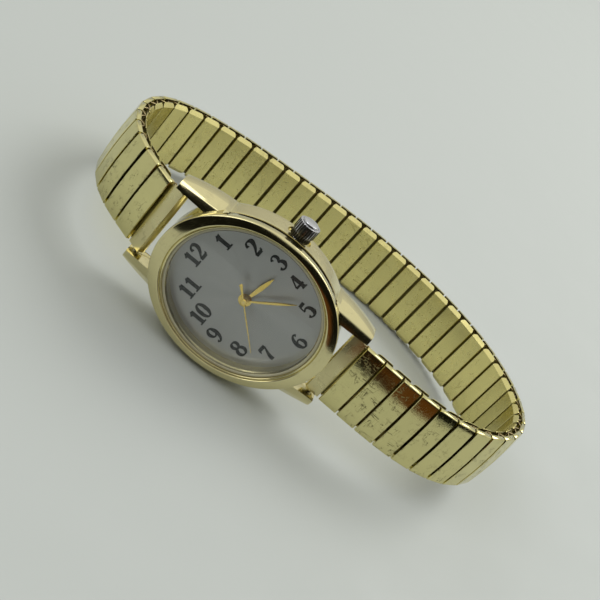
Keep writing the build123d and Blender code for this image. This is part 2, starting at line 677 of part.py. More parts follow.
with BuildPart() as train_bridge:
    with BuildSketch(level(BRIDGE_BOTTOM)):
        with Locations((BRIDGE_CENTRE_X, 0)):
            RectangleRounded(BRIDGE_LENGTH, BRIDGE_WIDTH, BRIDGE_CORNER)
    extrude(amount=BRIDGE_TOP - BRIDGE_BOTTOM)
    for place in post_places:
        disc(BRIDGE_POST_RADIUS, BRIDGE_TOP, PLATE_BOTTOM, place)
    for place in arbor_places:
        disc(PIVOT_RADIUS + PIVOT_CLEARANCE, BRIDGE_BOTTOM, BRIDGE_TOP, place, mode=Mode.SUBTRACT)
    disc(SECOND_ARBOR_RADIUS + PIVOT_CLEARANCE, BRIDGE_BOTTOM, BRIDGE_TOP, mode=Mode.SUBTRACT)

# Motion work and going train.
with BuildPart() as hour_wheel:
    disc(HOUR_WHEEL_RADIUS, HOUR_WHEEL_TOP - HOUR_WHEEL_THICKNESS, HOUR_WHEEL_TOP)
    disc(HOUR_PIPE_RADIUS, HOUR_WHEEL_TOP, HOUR_PIPE_TOP)
    disc(
        CENTRE_PIPE_RADIUS + RUNNING_CLEARANCE, HOUR_WHEEL_TOP - HOUR_WHEEL_THICKNESS, HOUR_PIPE_TOP,
        mode=Mode.SUBTRACT,
    )

with BuildPart() as minute_wheel:
    disc(minute_wheel_radius, MINUTE_WHEEL_TOP - MINUTE_WHEEL_THICKNESS, MINUTE_WHEEL_TOP, minute_wheel_place)
    disc(MINUTE_PINION_RADIUS, MINUTE_WHEEL_TOP, HOUR_WHEEL_TOP, minute_wheel_place)
    disc(
        MINUTE_POST_RADIUS + RUNNING_CLEARANCE, MINUTE_WHEEL_TOP - MINUTE_WHEEL_THICKNESS, HOUR_WHEEL_TOP,
        minute_wheel_place, mode=Mode.SUBTRACT,
    )

with BuildPart() as centre_wheel:
    disc(CENTRE_WHEEL_RADIUS, CENTRE_WHEEL_TOP - CENTRE_WHEEL_THICKNESS, CENTRE_WHEEL_TOP)
    disc(CENTRE_PIPE_RADIUS, CENTRE_WHEEL_TOP, CENTRE_PIPE_TOP)
    disc(CANNON_RADIUS, MOTION_FLOOR + RUNNING_CLEARANCE, CANNON_TOP)
    disc(
        SECOND_ARBOR_RADIUS + RUNNING_CLEARANCE, CENTRE_WHEEL_TOP - CENTRE_WHEEL_THICKNESS, CENTRE_PIPE_TOP,
        mode=Mode.SUBTRACT,
    )

arbor_bottom = BRIDGE_BOTTOM + SEAT_CLEARANCE
arbor_top = PLATE_BOTTOM + PIVOT_DEPTH - SEAT_CLEARANCE
with BuildPart() as second_wheel:
    disc(SECOND_ARBOR_RADIUS, arbor_bottom, SECOND_HAND_HEIGHT + HAND_THICKNESS)
    disc(SECOND_WHEEL_RADIUS, SECOND_WHEEL_TOP - SECOND_WHEEL_THICKNESS, SECOND_WHEEL_TOP)
    disc(SECOND_PINION_RADIUS, SECOND_WHEEL_TOP, CENTRE_WHEEL_TOP - CENTRE_WHEEL_THICKNESS - RUNNING_CLEARANCE)

with BuildPart() as third_wheel:
    disc(PIVOT_RADIUS, arbor_bottom, arbor_top, third_wheel_place)
    disc(THIRD_WHEEL_RADIUS, THIRD_WHEEL_TOP - THIRD_WHEEL_THICKNESS, THIRD_WHEEL_TOP, third_wheel_place)
    disc(THIRD_PINION_RADIUS, THIRD_WHEEL_TOP, CENTRE_WHEEL_TOP, third_wheel_place)

with BuildPart() as intermediate_wheel:
    disc(PIVOT_RADIUS, arbor_bottom, arbor_top, intermediate_place)
    disc(
        INTERMEDIATE_WHEEL_RADIUS, INTERMEDIATE_WHEEL_TOP - INTERMEDIATE_WHEEL_THICKNESS, INTERMEDIATE_WHEEL_TOP,
        intermediate_place,
    )
    disc(INTERMEDIATE_PINION_RADIUS, INTERMEDIATE_WHEEL_TOP, SECOND_WHEEL_TOP, intermediate_place)

with BuildPart() as rotor:
    disc(PIVOT_RADIUS, arbor_bottom, arbor_top, rotor_place)
    disc(ROTOR_MAGNET_RADIUS, ROTOR_MAGNET_BOTTOM, ROTOR_MAGNET_TOP, rotor_place)
    disc(ROTOR_PINION_RADIUS, INTERMEDIATE_WHEEL_TOP - INTERMEDIATE_WHEEL_THICKNESS, ROTOR_MAGNET_BOTTOM, rotor_place)

# Stepping motor.
with BuildPart() as stator:
    with BuildSketch(level(stator_top - STATOR_THICKNESS)):
        stator_low = COIL_TOP_Y + MOTION_ROOM
        with Locations((half_share(STATOR_LEFT + STATOR_RIGHT), half_share(stator_low + STATOR_TOP_Y))):
            Rectangle(STATOR_RIGHT - STATOR_LEFT, STATOR_TOP_Y - stator_low)
        arm_centre = STATOR_ARM_LEFT + half_share(STATOR_ARM_WIDTH)
        with Locations((arm_centre, half_share(core_bottom_y + stator_low))):
            Rectangle(STATOR_ARM_WIDTH, stator_low - core_bottom_y)
        foot_high = coil_bottom_y - MOTION_ROOM
        with Locations((half_share(STATOR_ARM_LEFT + STATOR_RIGHT), half_share(core_bottom_y + foot_high))):
            Rectangle(STATOR_RIGHT - STATOR_ARM_LEFT, foot_high - core_bottom_y)
        with Locations(rotor_place):
            Circle(STATOR_HOLE_RADIUS, mode=Mode.SUBTRACT)
    extrude(amount=STATOR_THICKNESS)

with BuildPart() as coil_core:
    block(
        COIL_X - half_share(CORE_WIDTH), COIL_X + half_share(CORE_WIDTH), core_bottom_y, CORE_TOP_Y,
        stator_top, stator_top + CORE_THICKNESS,
    )

with BuildPart() as coil:
    with BuildSketch(Plane(origin=(COIL_X, coil_bottom_y, COIL_HEIGHT), x_dir=(1, 0, 0), z_dir=(0, 1, 0))):
        Circle(COIL_RADIUS)
        Rectangle(CORE_WIDTH + PIVOT_CLEARANCE, CORE_THICKNESS + PIVOT_CLEARANCE, mode=Mode.SUBTRACT)
    extrude(amount=COIL_TOP_Y - coil_bottom_y)

# Circuit board with the quartz can on its dial side.
with BuildPart() as circuit_board:
    with BuildSketch(level(BOARD_TOP - BOARD_THICKNESS)):
        with Locations((BOARD_X, half_share(board_low_y + board_high_y))):
            RectangleRounded(BOARD_LENGTH, board_high_y - board_low_y, BRIDGE_CORNER)
    extrude(amount=BOARD_THICKNESS)

with BuildPart() as quartz_can:
    can_plane = Plane(
        origin=(CAN_X - half_share(CAN_LENGTH), can_y, BOARD_TOP + CAN_RADIUS), x_dir=(0, 1, 0), z_dir=(1, 0, 0)
    )
    with BuildSketch(can_plane):
        Circle(CAN_RADIUS)
    extrude(amount=CAN_LENGTH)

# Battery and its clip.
with BuildPart() as battery:
    disc(BATTERY_RADIUS, BATTERY_BOTTOM, BATTERY_TOP - BATTERY_CAP_STEP, (BATTERY_X, BATTERY_Y))
    disc(BATTERY_RADIUS - BATTERY_CAP_INSET, BATTERY_TOP - BATTERY_CAP_STEP, BATTERY_TOP, (BATTERY_X, BATTERY_Y))

with BuildPart() as battery_clip:
    clip_top = BATTERY_BOTTOM
    block(
        BATTERY_X - half_share(CLIP_WIDTH), BATTERY_X + half_share(CLIP_WIDTH),
        BATTERY_Y - half_share(CLIP_LENGTH), BATTERY_Y + half_share(CLIP_LENGTH),
        clip_top - CLIP_THICKNESS, clip_top,
    )

# Crown, stem, tube and the setting parts.
with BuildPart() as crown_tube:
    stem_disc(TUBE_RADIUS, tube_inner_y, tube_outer_y)
    stem_disc(STEM_RADIUS + RUNNING_CLEARANCE, tube_inner_y, tube_outer_y, mode=Mode.SUBTRACT)

with BuildPart() as crown:
    with BuildSketch(stem_plane(crown_base_y)):
        with BuildLine():
            knurl = []
            for step in range(CROWN_TEETH + CROWN_TEETH):
                depth = CROWN_TOOTH_DEPTH if step % 2 else 0
                turn = math.radians(HALF_TURN * step / CROWN_TEETH)
                knurl.append(((CROWN_RADIUS - depth) * math.cos(turn), (CROWN_RADIUS - depth) * math.sin(turn)))
            Polyline(*knurl, close=True)
        make_face()
    extrude(amount=crown_tip_y - CROWN_CAP_BEVEL - crown_base_y)
    with BuildSketch(stem_plane(crown_tip_y - CROWN_CAP_BEVEL)):
        Circle(CROWN_RADIUS - CROWN_TOOTH_DEPTH)
    extrude(amount=CROWN_CAP_BEVEL)
    chamfer(crown.faces().sort_by(Axis.Y)[-1].edges(), half_share(CROWN_CAP_BEVEL))
    stem_disc(CROWN_SKIRT_ROOM, crown_base_y, crown_tip_y - CROWN_FACE_THICKNESS, mode=Mode.SUBTRACT)

with BuildPart() as crown_gasket:
    stem_disc(CROWN_SKIRT_ROOM, crown_gasket_y, crown_gasket_y + CROWN_GASKET_LENGTH)
    stem_disc(
        TUBE_RADIUS + PIVOT_CLEARANCE, crown_gasket_y, crown_gasket_y + CROWN_GASKET_LENGTH, mode=Mode.SUBTRACT
    )

with BuildPart() as winding_stem:
    stem_disc(STEM_RADIUS, stem_inner_end, crown_tip_y - CROWN_FACE_THICKNESS)
    with BuildSketch(stem_plane(lever_y - half_share(GROOVE_WIDTH))):
        Circle(STEM_RADIUS)
        Circle(GROOVE_RADIUS, mode=Mode.SUBTRACT)
    extrude(amount=GROOVE_WIDTH, mode=Mode.SUBTRACT)

with BuildPart() as clutch_wheel:
    stem_disc(CLUTCH_RADIUS, clutch_y, clutch_y + CLUTCH_LENGTH)
    stem_disc(STEM_RADIUS + PIVOT_CLEARANCE, clutch_y, clutch_y + CLUTCH_LENGTH, mode=Mode.SUBTRACT)

with BuildPart() as setting_lever:
    lever_bottom = STEM_HEIGHT - half_share(LEVER_THICKNESS)
    block(
        LEVER_FINGER_X, LEVER_PIVOT_X, lever_y - half_share(LEVER_WIDTH), lever_y + half_share(LEVER_WIDTH),
        lever_bottom, lever_bottom + LEVER_THICKNESS,
    )
    disc(LEVER_BOSS_RADIUS, lever_bottom, lever_bottom + LEVER_THICKNESS, (LEVER_PIVOT_X, lever_y))
    disc(
        LEVER_POST_RADIUS + PIVOT_CLEARANCE, lever_bottom, lever_bottom + LEVER_THICKNESS,
        (LEVER_PIVOT_X, lever_y), mode=Mode.SUBTRACT,
    )

# Spring bar, modelled along Y through the origin.
with BuildPart() as spring_bar:
    with BuildSketch(Plane.XZ):
        Circle(BAR_RADIUS)
    extrude(amount=half_share(BAR_BODY_LENGTH), both=True)
    with BuildSketch(Plane.XZ):
        Circle(BAR_PIN_RADIUS)
    extrude(amount=half_share(BAR_BODY_LENGTH) + BAR_PIN_LENGTH, both=True)

# End piece, modelled about its spring bar with the bracelet leaving toward +X.
shell_top = CHAIN_START_V - ROW_GAP_HALF
shell_bottom = shell_top - SHELL_HEIGHT
tongue_end = CHAIN_START_U + half_share(SHELL_LENGTH) + TONGUE_OVERREACH
with BuildPart() as end_piece:
    with BuildSketch(Plane.XZ):
        Circle(END_TUBE_RADIUS)
        with Locations((half_share(END_PLATE_START + END_PLATE_END), END_TUBE_RADIUS - half_share(END_PLATE_THICKNESS))):
            Rectangle(END_PLATE_END - END_PLATE_START, END_PLATE_THICKNESS)
    extrude(amount=half_share(END_WIDTH), both=True)
    with BuildSketch(Plane.XZ):
        with Locations((half_share(END_TONGUE_START + tongue_end), half_share(shell_top + shell_bottom))):
            Rectangle(tongue_end - END_TONGUE_START, SHELL_HEIGHT)
    extrude(amount=half_share(INNER_WIDTH), both=True)
    with BuildSketch(Plane.XZ):
        hollow_start = END_TUBE_RADIUS + SHEET
        hollow_end = tongue_end - SHEET
        with Locations((half_share(hollow_start + hollow_end), half_share(shell_top + shell_bottom))):
            Rectangle(hollow_end - hollow_start, SHELL_HEIGHT - SHEET - SHEET)
        Circle(BAR_RADIUS + RUNNING_CLEARANCE)
    extrude(amount=END_WIDTH, both=True, mode=Mode.SUBTRACT)

# Bracelet pieces, each modelled in its own link frame: X along the loop, Z away from the wrist.
def cap_outline(inset):
    """Outline of a cap seen along the loop, drawn in from its outside by a sheet's thickness or not at all."""
    half_width = half_share(OUTER_WIDTH) - inset
    bottom = ROW_GAP_HALF + inset
    top = ROW_GAP_HALF + CAP_HEIGHT - inset
    shoulder = top - CAP_CROWN
    with BuildLine() as outline:
        Polyline((-half_width, shoulder), (-half_width, bottom), (half_width, bottom), (half_width, shoulder))
        ThreePointArc((half_width, shoulder), (0, top), (-half_width, shoulder))
    make_face(outline.edges())


def staple_openings(half_width, depth, half_length, low, high):
    """Openings near both ends of a cap or shell for the staples."""
    with BuildSketch(Plane.YZ) as openings:
        for edge in (1, -1):
            with Locations((edge * (half_width - half_share(depth)), half_share(low + high))):
                Rectangle(depth, high - low)
    extrude(openings.sketch, amount=half_length, both=True, mode=Mode.SUBTRACT)


with BuildPart() as cap:
    with BuildSketch(Plane.YZ) as cap_outside:
        cap_outline(0)
        fillet(cap_outside.vertices().group_by(Axis.Y)[-1], CAP_END_ROUNDING)
    extrude(amount=half_share(CAP_LENGTH), both=True)
    with BuildSketch(Plane.YZ):
        cap_outline(SHEET)
    extrude(amount=half_share(CAP_LENGTH) - SHEET, both=True, mode=Mode.SUBTRACT)
    staple_openings(
        half_share(OUTER_WIDTH) - SHEET, CAP_NOTCH_DEPTH, half_share(CAP_LENGTH) - SHEET, ROW_GAP_HALF,
        ROW_GAP_HALF + SHEET,
    )

with BuildPart() as shell:
    with BuildSketch(Plane.YZ) as shell_outside:
        with Locations((0, -ROW_GAP_HALF - half_share(SHELL_HEIGHT))):
            Rectangle(INNER_WIDTH, SHELL_HEIGHT)
        fillet(shell_outside.vertices().group_by(Axis.Y)[0], SHELL_END_ROUNDING)
    extrude(amount=half_share(SHELL_LENGTH), both=True)
    with BuildSketch(Plane.YZ) as shell_inside:
        with Locations((0, -ROW_GAP_HALF - half_share(SHELL_HEIGHT))):
            Rectangle(INNER_WIDTH - SHEET - SHEET, SHELL_HEIGHT - SHEET - SHEET)
        fillet(shell_inside.vertices().group_by(Axis.Y)[0], SHELL_END_ROUNDING - SHEET)
    extrude(amount=half_share(SHELL_LENGTH) - SHEET, both=True, mode=Mode.SUBTRACT)
    staple_openings(
        half_share(INNER_WIDTH), SHEET, half_share(SHELL_LENGTH) - SHEET, SHELL_WINDOW_BOTTOM, -ROW_GAP_HALF - SHEET
    )

# Leaf spring inside a shell, bowed so that its ends press the staples' legs.
leaf_floor = -ROW_GAP_HALF - SHELL_HEIGHT + SHEET
with BuildPart() as leaf:
    with BuildSketch(Plane.YZ):
        with BuildLine():
            Polyline(
                (-LEAF_HALF_LENGTH, leaf_floor + LEAF_BOW),
                (0, leaf_floor),
                (LEAF_HALF_LENGTH, leaf_floor + LEAF_BOW),
                (LEAF_HALF_LENGTH, leaf_floor + LEAF_BOW + LEAF_THICKNESS),
                (0, leaf_floor + LEAF_THICKNESS),
                (-LEAF_HALF_LENGTH, leaf_floor + LEAF_BOW + LEAF_THICKNESS),
                close=True,
            )
        make_face()
    extrude(amount=half_share(LEAF_WIDTH), both=True)


def staple_frame(edge):
    """Plane through both legs of a staple: X from the inner leg to the outer leg, Y along the legs."""
    lean = Vector(STAPLE_OUTER_U - STAPLE_INNER_U, 0, STAPLE_OUTER_V - STAPLE_INNER_V)
    middle = (
        half_share(STAPLE_OUTER_U + STAPLE_INNER_U), edge * STAPLE_BRIDGE_REACH,
        half_share(STAPLE_OUTER_V + STAPLE_INNER_V),
    )
    return Plane(origin=middle, x_dir=tuple(lean), z_dir=tuple(lean.cross(Vector(0, -edge, 0)))), lean.length


# Staple: a bent wire whose bridge lies behind a cap's end wall and whose legs reach into a cap and a shell.
staples = []
for edge in (1, -1):
    frame, spread = staple_frame(edge)
    with BuildPart() as staple:
        with BuildSketch(frame):
            with Locations((0, half_share(STAPLE_WIRE))):
                Rectangle(spread + STAPLE_WIRE, STAPLE_WIRE)
            with Locations(
                (-half_share(spread), half_share(STAPLE_LEG)), (half_share(spread), half_share(STAPLE_LEG))
            ):
                Rectangle(STAPLE_WIRE, STAPLE_LEG)
        extrude(amount=half_share(STAPLE_WIRE), both=True)
    staples.append(staple.part)


def end_place(side):
    """Where the end piece sits: over the 6 o'clock bar as modelled, over the 12 o'clock bar turned round."""
    if side > 0:
        return Plane(origin=(bar_reach, 0, BAR_HEIGHT), x_dir=(1, 0, 0), z_dir=(0, 0, 1))
    turn = math.radians(END_TURN_12)
    return Plane(
        origin=(-bar_reach, 0, BAR_HEIGHT), x_dir=(-math.cos(turn), 0, -math.sin(turn)),
        z_dir=(-math.sin(turn), 0, math.cos(turn)),
    )


def chain_end(side):
    """Start of the link course at an end piece, with its direction away from the head."""
    place = end_place(side)
    start = place.origin + place.x_dir * CHAIN_START_U + place.z_dir * CHAIN_START_V
    return start, place.x_dir


start_point, start_direction = chain_end(1)
end_point, end_direction = chain_end(-1)

loop_stations = (
    (percent_share(62) * LOOP_REACH_6, -percent_share(2.4) * LOOP_DEPTH),
    (percent_share(91) * LOOP_REACH_6, -percent_share(17.5) * LOOP_DEPTH),
    (LOOP_REACH_6, -percent_share(42) * LOOP_DEPTH),
    (percent_share(86) * LOOP_REACH_6, -percent_share(79.5) * LOOP_DEPTH),
    (percent_share(27) * LOOP_REACH_6, -LOOP_DEPTH),
    (-percent_share(11.5) * LOOP_REACH_12, -percent_share(93.5) * LOOP_DEPTH),
    (-percent_share(66.5) * LOOP_REACH_12, -percent_share(81) * LOOP_DEPTH),
    (-percent_share(94) * LOOP_REACH_12, -percent_share(64.2) * LOOP_DEPTH),
    (-LOOP_REACH_12, -percent_share(45) * LOOP_DEPTH),
    (-percent_share(94.5) * LOOP_REACH_12, -percent_share(28) * LOOP_DEPTH),
    (-percent_share(79) * LOOP_REACH_12, -percent_share(13.7) * LOOP_DEPTH),
)
with BuildLine(Plane.XZ) as course:
    Spline(
        (start_point.X, start_point.Z),
        *loop_stations,
        (end_point.X, end_point.Z),
        tangents=((start_direction.X, start_direction.Z), (-end_direction.X, -end_direction.Z)),
        tangent_scalars=(START_TANGENT_WEIGHT, END_TANGENT_WEIGHT),
    )
course_edge = course.edge()
link_pitch = course_edge.length / LINK_COUNT


def link_plane(pitches):
    """Link frame at a number of pitches along the course."""
    distance = pitches * link_pitch
    at = course_edge.position_at(distance, position_mode=PositionMode.LENGTH)
    along = course_edge.tangent_at(distance, position_mode=PositionMode.LENGTH)
    return Plane(origin=at, x_dir=along, z_dir=Vector(-along.Z, 0, along.X))


def place_copy(plane, piece, name):
    """Copy of a modelled piece put into a frame."""
    copy_of_piece = plane.location * piece
    copy_of_piece.label = name
    return copy_of_piece


def staple_pieces(pitches, facing):
    """Two staples, one on each edge, tying the cap on one side of a joint to the shell on the other."""
    plane = link_plane(pitches)
    if facing < 0:
        plane = Plane(origin=plane.origin, x_dir=-plane.x_dir, z_dir=plane.z_dir)
    return [place_copy(plane, piece, "staple") for piece in staples]


# Segments: each holds its caps, the shells that follow them, leaf springs and staples.
segments = []
quarter_pitch = half_share(half_share(1))
for segment_index in range(LINK_COUNT // LINKS_PER_SEGMENT):
    pieces = []
    for link in range(LINKS_PER_SEGMENT):
        cap_at = segment_index * LINKS_PER_SEGMENT + link + half_share(1)
        shell_at = cap_at + half_share(1)
        pieces.append(place_copy(link_plane(cap_at), cap.part, "cap"))
        pieces.extend(staple_pieces(cap_at - quarter_pitch, 1))
        if shell_at < LINK_COUNT:
            pieces.append(place_copy(link_plane(shell_at), shell.part, "shell"))
            pieces.append(place_copy(link_plane(shell_at), leaf.part, "leaf"))
        pieces.extend(staple_pieces(cap_at + quarter_pitch, -1))
    segments.append(Compound(children=pieces))

# The finished nodes, still dial up.
end_piece_6 = place_copy(end_place(1), end_piece.part, "end_piece_6")
end_piece_12 = place_copy(end_place(-1), end_piece.part, "end_piece_12")
spring_bars = Compound(
    children=[
        place_copy(Plane(origin=(side * bar_reach, 0, BAR_HEIGHT)), spring_bar.part, "spring_bar")
        for side in (1, -1)
    ]
)
nodes = {
    "case_middle": case_middle.part,
    "bezel": bezel.part,
    "crystal": crystal.part,
    "crystal_gasket": crystal_gasket.part,
    "dial": dial.part,
    "dial_ring": dial_ring.part,
    "hour_hand": hour_hand.part,
    "minute_hand": minute_hand.part,
    "second_hand": second_hand.part,
    "case_back": case_back.part,
    "case_back_gasket": case_back_gasket.part,
    "movement_ring": movement_ring.part,
    "main_plate": main_plate.part,
    "train_bridge": train_bridge.part,
    "hour_wheel": hour_wheel.part,
    "minute_wheel": minute_wheel.part,
    "centre_wheel": centre_wheel.part,
    "second_wheel": second_wheel.part,
    "third_wheel": third_wheel.part,
    "intermediate_wheel": intermediate_wheel.part,
    "rotor": rotor.part,
    "stator": stator.part,
    "coil_core": coil_core.part,
    "coil": coil.part,
    "circuit_board": circuit_board.part,
    "quartz_can": quartz_can.part,
    "battery": battery.part,
    "battery_clip": battery_clip.part,
    "crown_tube": crown_tube.part,
    "crown": crown.part,
    "crown_gasket": crown_gasket.part,
    "winding_stem": winding_stem.part,
    "clutch_wheel": clutch_wheel.part,
    "setting_lever": setting_lever.part,
    "spring_bars": spring_bars,
    "end_piece_6": end_piece_6,
    "end_piece_12": end_piece_12,
}
for number, segment in enumerate(segments, start=1):
    nodes["bracelet_%02d" % number] = segment

# Laying down: the case's 9 o'clock flank and the far run's lower edge both touch the table.
rest_rise = FLANK_HALF_WIDTH - half_share(OUTER_WIDTH)
rest_run = LOOP_DEPTH + ROW_GAP_HALF + CAP_HEIGHT + CASE_BOTTOM
lean_angle = math.degrees(math.atan2(rest_rise, rest_run))
lay_down = Location((0, 0, 0), (QUARTER_TURN - lean_angle, 0, 0))
laid = {name: lay_down * node for name, node in nodes.items()}
boxes = [node.bounding_box() for node in laid.values()]
low_x = min(box.min.X for box in boxes)
high_x = max(box.max.X for box in boxes)
low_y = min(box.min.Y for box in boxes)
high_y = max(box.max.Y for box in boxes)
low_z = min(box.min.Z for box in boxes)
to_origin = Location((-half_share(low_x + high_x), -half_share(low_y + high_y), -low_z))
for name, node in laid.items():
    placed = to_origin * node
    placed.label = name
    export_step(placed, "parts/%s.step" % name)
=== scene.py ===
"""Oval quartz watch on a stretch bracelet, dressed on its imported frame."""

import json
import math

import bmesh
import bpy
from bpy.props import FloatProperty, FloatVectorProperty, IntProperty, PointerProperty
from mathutils import Matrix, Vector


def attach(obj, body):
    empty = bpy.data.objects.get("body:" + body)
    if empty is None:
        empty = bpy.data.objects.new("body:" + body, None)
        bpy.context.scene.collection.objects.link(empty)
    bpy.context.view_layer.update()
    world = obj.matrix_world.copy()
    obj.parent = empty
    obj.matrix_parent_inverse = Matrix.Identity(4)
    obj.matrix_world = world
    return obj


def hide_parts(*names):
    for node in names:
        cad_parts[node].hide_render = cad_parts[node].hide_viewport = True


bl_info = {
    "name": "Oval stretch-bracelet watch",
    "version": (1, 0, 0),
    "blender": (4, 5, 0),
    "location": "3D View > Sidebar > Watch",
    "description": "Models and finishes the pieces of a small oval watch round its fixed frame",
    "category": "Add Mesh",
}

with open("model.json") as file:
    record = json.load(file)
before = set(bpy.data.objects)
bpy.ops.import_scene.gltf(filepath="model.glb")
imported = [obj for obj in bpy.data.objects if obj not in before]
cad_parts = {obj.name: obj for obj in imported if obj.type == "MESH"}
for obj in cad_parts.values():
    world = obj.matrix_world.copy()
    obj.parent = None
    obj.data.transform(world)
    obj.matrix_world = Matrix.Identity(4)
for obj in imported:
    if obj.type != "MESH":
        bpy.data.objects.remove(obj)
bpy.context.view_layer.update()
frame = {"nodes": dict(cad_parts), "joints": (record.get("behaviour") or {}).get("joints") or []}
MILLIMETRE = 0.001

# Heights above the dial face and places from the hands' axis, in millimetres, as the frame has them.
SECOND_HAND_HEIGHT = 1.3
STEM_HEIGHT = -1.1
LOOP_CENTRE = Vector((9.0, 0.0, -20.0))
HAND_THICKNESS = 0.12
HAND_RIDGE = 0.05
# The hands in degrees past 12 o'clock: about twenty-four minutes past three.
HOUR_TURN, MINUTE_TURN, SECOND_TURN = 101.8, 141.6, 224.4

# Bracelet caps and shells in their link frames: sizes, and heights of their middles over the link's plane.
LINK_WIDTH = 11.0
LINK_HALF = LINK_WIDTH / 2
LINK_EDGE = LINK_HALF - 0.1
CAP_SIZE = (3.1, LINK_WIDTH, 1.05)
CAP_MIDDLE = 0.675
SHELL_SIZE = (2.82, LINK_WIDTH, 1.0)
SHELL_MIDDLE = -0.65
PAD_RISE = 0.45
SEGMENTS = 23
# Widths of the frame's own parts: a cap is wider than the first, a shell wider than the second.
CAP_WIDER_THAN = 10.5
SHELL_WIDER_THAN = 9.5

# The photograph's camera: degrees round and above the dial, its roll, and its place in the watch's axes.
CAMERA_AROUND = -7.75
CAMERA_ABOVE = 23.9
CAMERA_ROLL = 42.7
CAMERA_PLACE = Vector((-12.85, 65.82, 136.28))

# For the lug toward 6 and 3: size and middle of a block that covers it, and the planes that cut its top, each
# as a point and a normal. The other lugs are mirrored. The case's oval body is left alone.
LUG_BLOCK = ((9.0, 7.0, 6.0), (14.5, 9.0, 1.0))
LUG_PLANES = (
    ((12.11, 6.0, 0.47), (0.094, 0.25, 1.0)),
    ((12.11, 7.30, 0.145), (0.16, 0.90, 1.0)),
)
CASE_OVAL = (13.9, 11.5)

# Bezel profile: share of the breadth from the opening outward, and height.
BEZEL_PROFILE = (
    (0.00, 1.60), (0.00, 2.60), (0.02, 2.68), (0.06, 2.73), (0.10, 2.73), (0.13, 2.69), (0.15, 2.65),
    (0.17, 2.74), (0.19, 2.86), (0.22, 2.92), (0.26, 2.945), (0.32, 2.935), (0.42, 2.90), (0.54, 2.848),
    (0.66, 2.787), (0.78, 2.716), (0.88, 2.65), (0.945, 2.60), (0.975, 2.56), (0.992, 2.50), (1.00, 2.41),
    (1.00, 0.95), (0.99, 0.93), (0.35, 0.93), (0.10, 0.93), (0.02, 0.45), (0.00, 0.45),
)

# Pen strokes of the dial figures: curved or straight, points as (across, up, breadth) in hundredths of a
# figure's height.
FIGURE_STROKES = {
    "0": (
        ("closed", (31, 98, 7), (51, 75, 15), (53, 50, 17), (51, 25, 15), (31, 2, 7), (11, 25, 15),
         (9, 50, 17), (11, 75, 15)),
    ),
    "1": (
        ("straight", (32, 2, 17), (32, 98, 17)),
        ("curved", (8, 78, 6), (20, 84, 10), (33, 96, 14)),
        ("straight", (8, 4, 7), (56, 4, 7)),
    ),
    "2": (
        ("curved", (11, 72, 15), (14, 90, 9), (30, 98, 7), (48, 88, 14), (51, 70, 17), (40, 46, 13),
         (20, 24, 8), (8, 8, 8)),
        ("straight", (6, 7, 14), (52, 7, 14)),
        ("straight", (53, 7, 8), (56, 24, 6)),
    ),
    "3": (
        ("curved", (10, 80, 14), (17, 94, 7), (32, 98, 7), (46, 86, 14), (46, 68, 14), (30, 54, 6)),
        ("curved", (28, 54, 6), (48, 44, 14), (52, 24, 17), (36, 3, 8), (17, 5, 8), (9, 20, 14)),
    ),
    "4": (
        ("straight", (42, 2, 16), (42, 98, 16)),
        ("straight", (38, 96, 6), (3, 32, 6)),
        ("straight", (2, 29, 9), (60, 29, 9)),
        ("straight", (26, 4, 7), (58, 4, 7)),
    ),
    "5": (
        ("straight", (14, 92, 14), (50, 94, 14)),
        ("straight", (14, 94, 6), (11, 52, 6)),
        ("curved", (11, 53, 6), (30, 63, 8), (49, 50, 15), (52, 26, 17), (36, 3, 8), (16, 5, 8),
         (9, 18, 14)),
    ),
    "6": (
        ("curved", (48, 86, 13), (40, 97, 7), (24, 90, 10), (11, 64, 15), (10, 30, 17), (30, 2, 7),
         (50, 16, 14), (52, 36, 15), (34, 58, 7), (14, 44, 7)),
    ),
    "7": (
        ("straight", (8, 92, 15), (55, 92, 15)),
        ("straight", (9, 94, 7), (7, 72, 6)),
        ("curved", (54, 90, 6), (38, 55, 11), (28, 26, 16), (27, 2, 17)),
    ),
    "8": (
        ("closed", (31, 98, 6), (48, 88, 14), (48, 68, 14), (31, 55, 9), (14, 68, 14), (14, 88, 14)),
        ("closed", (31, 55, 9), (52, 40, 15), (52, 15, 15), (31, 2, 6), (10, 15, 15), (10, 40, 15)),
    ),
}
# The nine is the six turned half round.
FIGURE_STROKES["9"] = tuple(
    (stroke[0], *[(62 - across, 100 - up, breadth) for across, up, breadth in stroke[1:]])
    for stroke in FIGURE_STROKES["6"]
)
# Shares of a figure's height: from one digit to the next, and from a digit's left edge to its middle.
FIGURE_ADVANCE = 0.60
FIGURE_MIDDLE = 0.31
# Flattening of the round pen strokes, and their lift over the dial in millimetres.
FIGURE_RELIEF = 0.12
FIGURE_LIFT = 0.012

# Middles of the hour figures on the dial, toward 6 o'clock and toward 3 o'clock.
FIGURE_PLACES = {
    12: (-9.05, 0.2), 1: (-7.3, 4.35), 2: (-3.75, 6.5), 3: (0.1, 7.2), 4: (3.75, 6.6), 5: (7.3, 4.5),
    6: (9.4, 0.05), 7: (7.3, -4.4), 8: (3.9, -6.65), 9: (0.15, -7.35), 10: (-3.3, -6.2), 11: (-6.8, -4.1),
}


def matrix_of(right, up, back, place):
    """Matrix whose columns are three axes and a place."""
    matrix = Matrix((right, up, back)).transposed().to_4x4()
    matrix.translation = place
    return matrix


def watch_place():
    """Matrix from the watch's own axes in millimetres to the row frame: 12 to 6, 9 to 3, out of the dial."""
    turns = {joint["name"]: joint for joint in frame["joints"]}
    outward = -Vector(turns["second_hand_turn"]["axis"]).normalized()
    crownward = Vector(turns["crown_turn"]["axis"]).normalized()
    centre = Vector(turns["second_hand_turn"]["pos_m"]) - outward * SECOND_HAND_HEIGHT * MILLIMETRE
    return matrix_of(crownward.cross(outward), crownward, outward, centre) @ Matrix.Scale(MILLIMETRE, 4)


WATCH = watch_place()


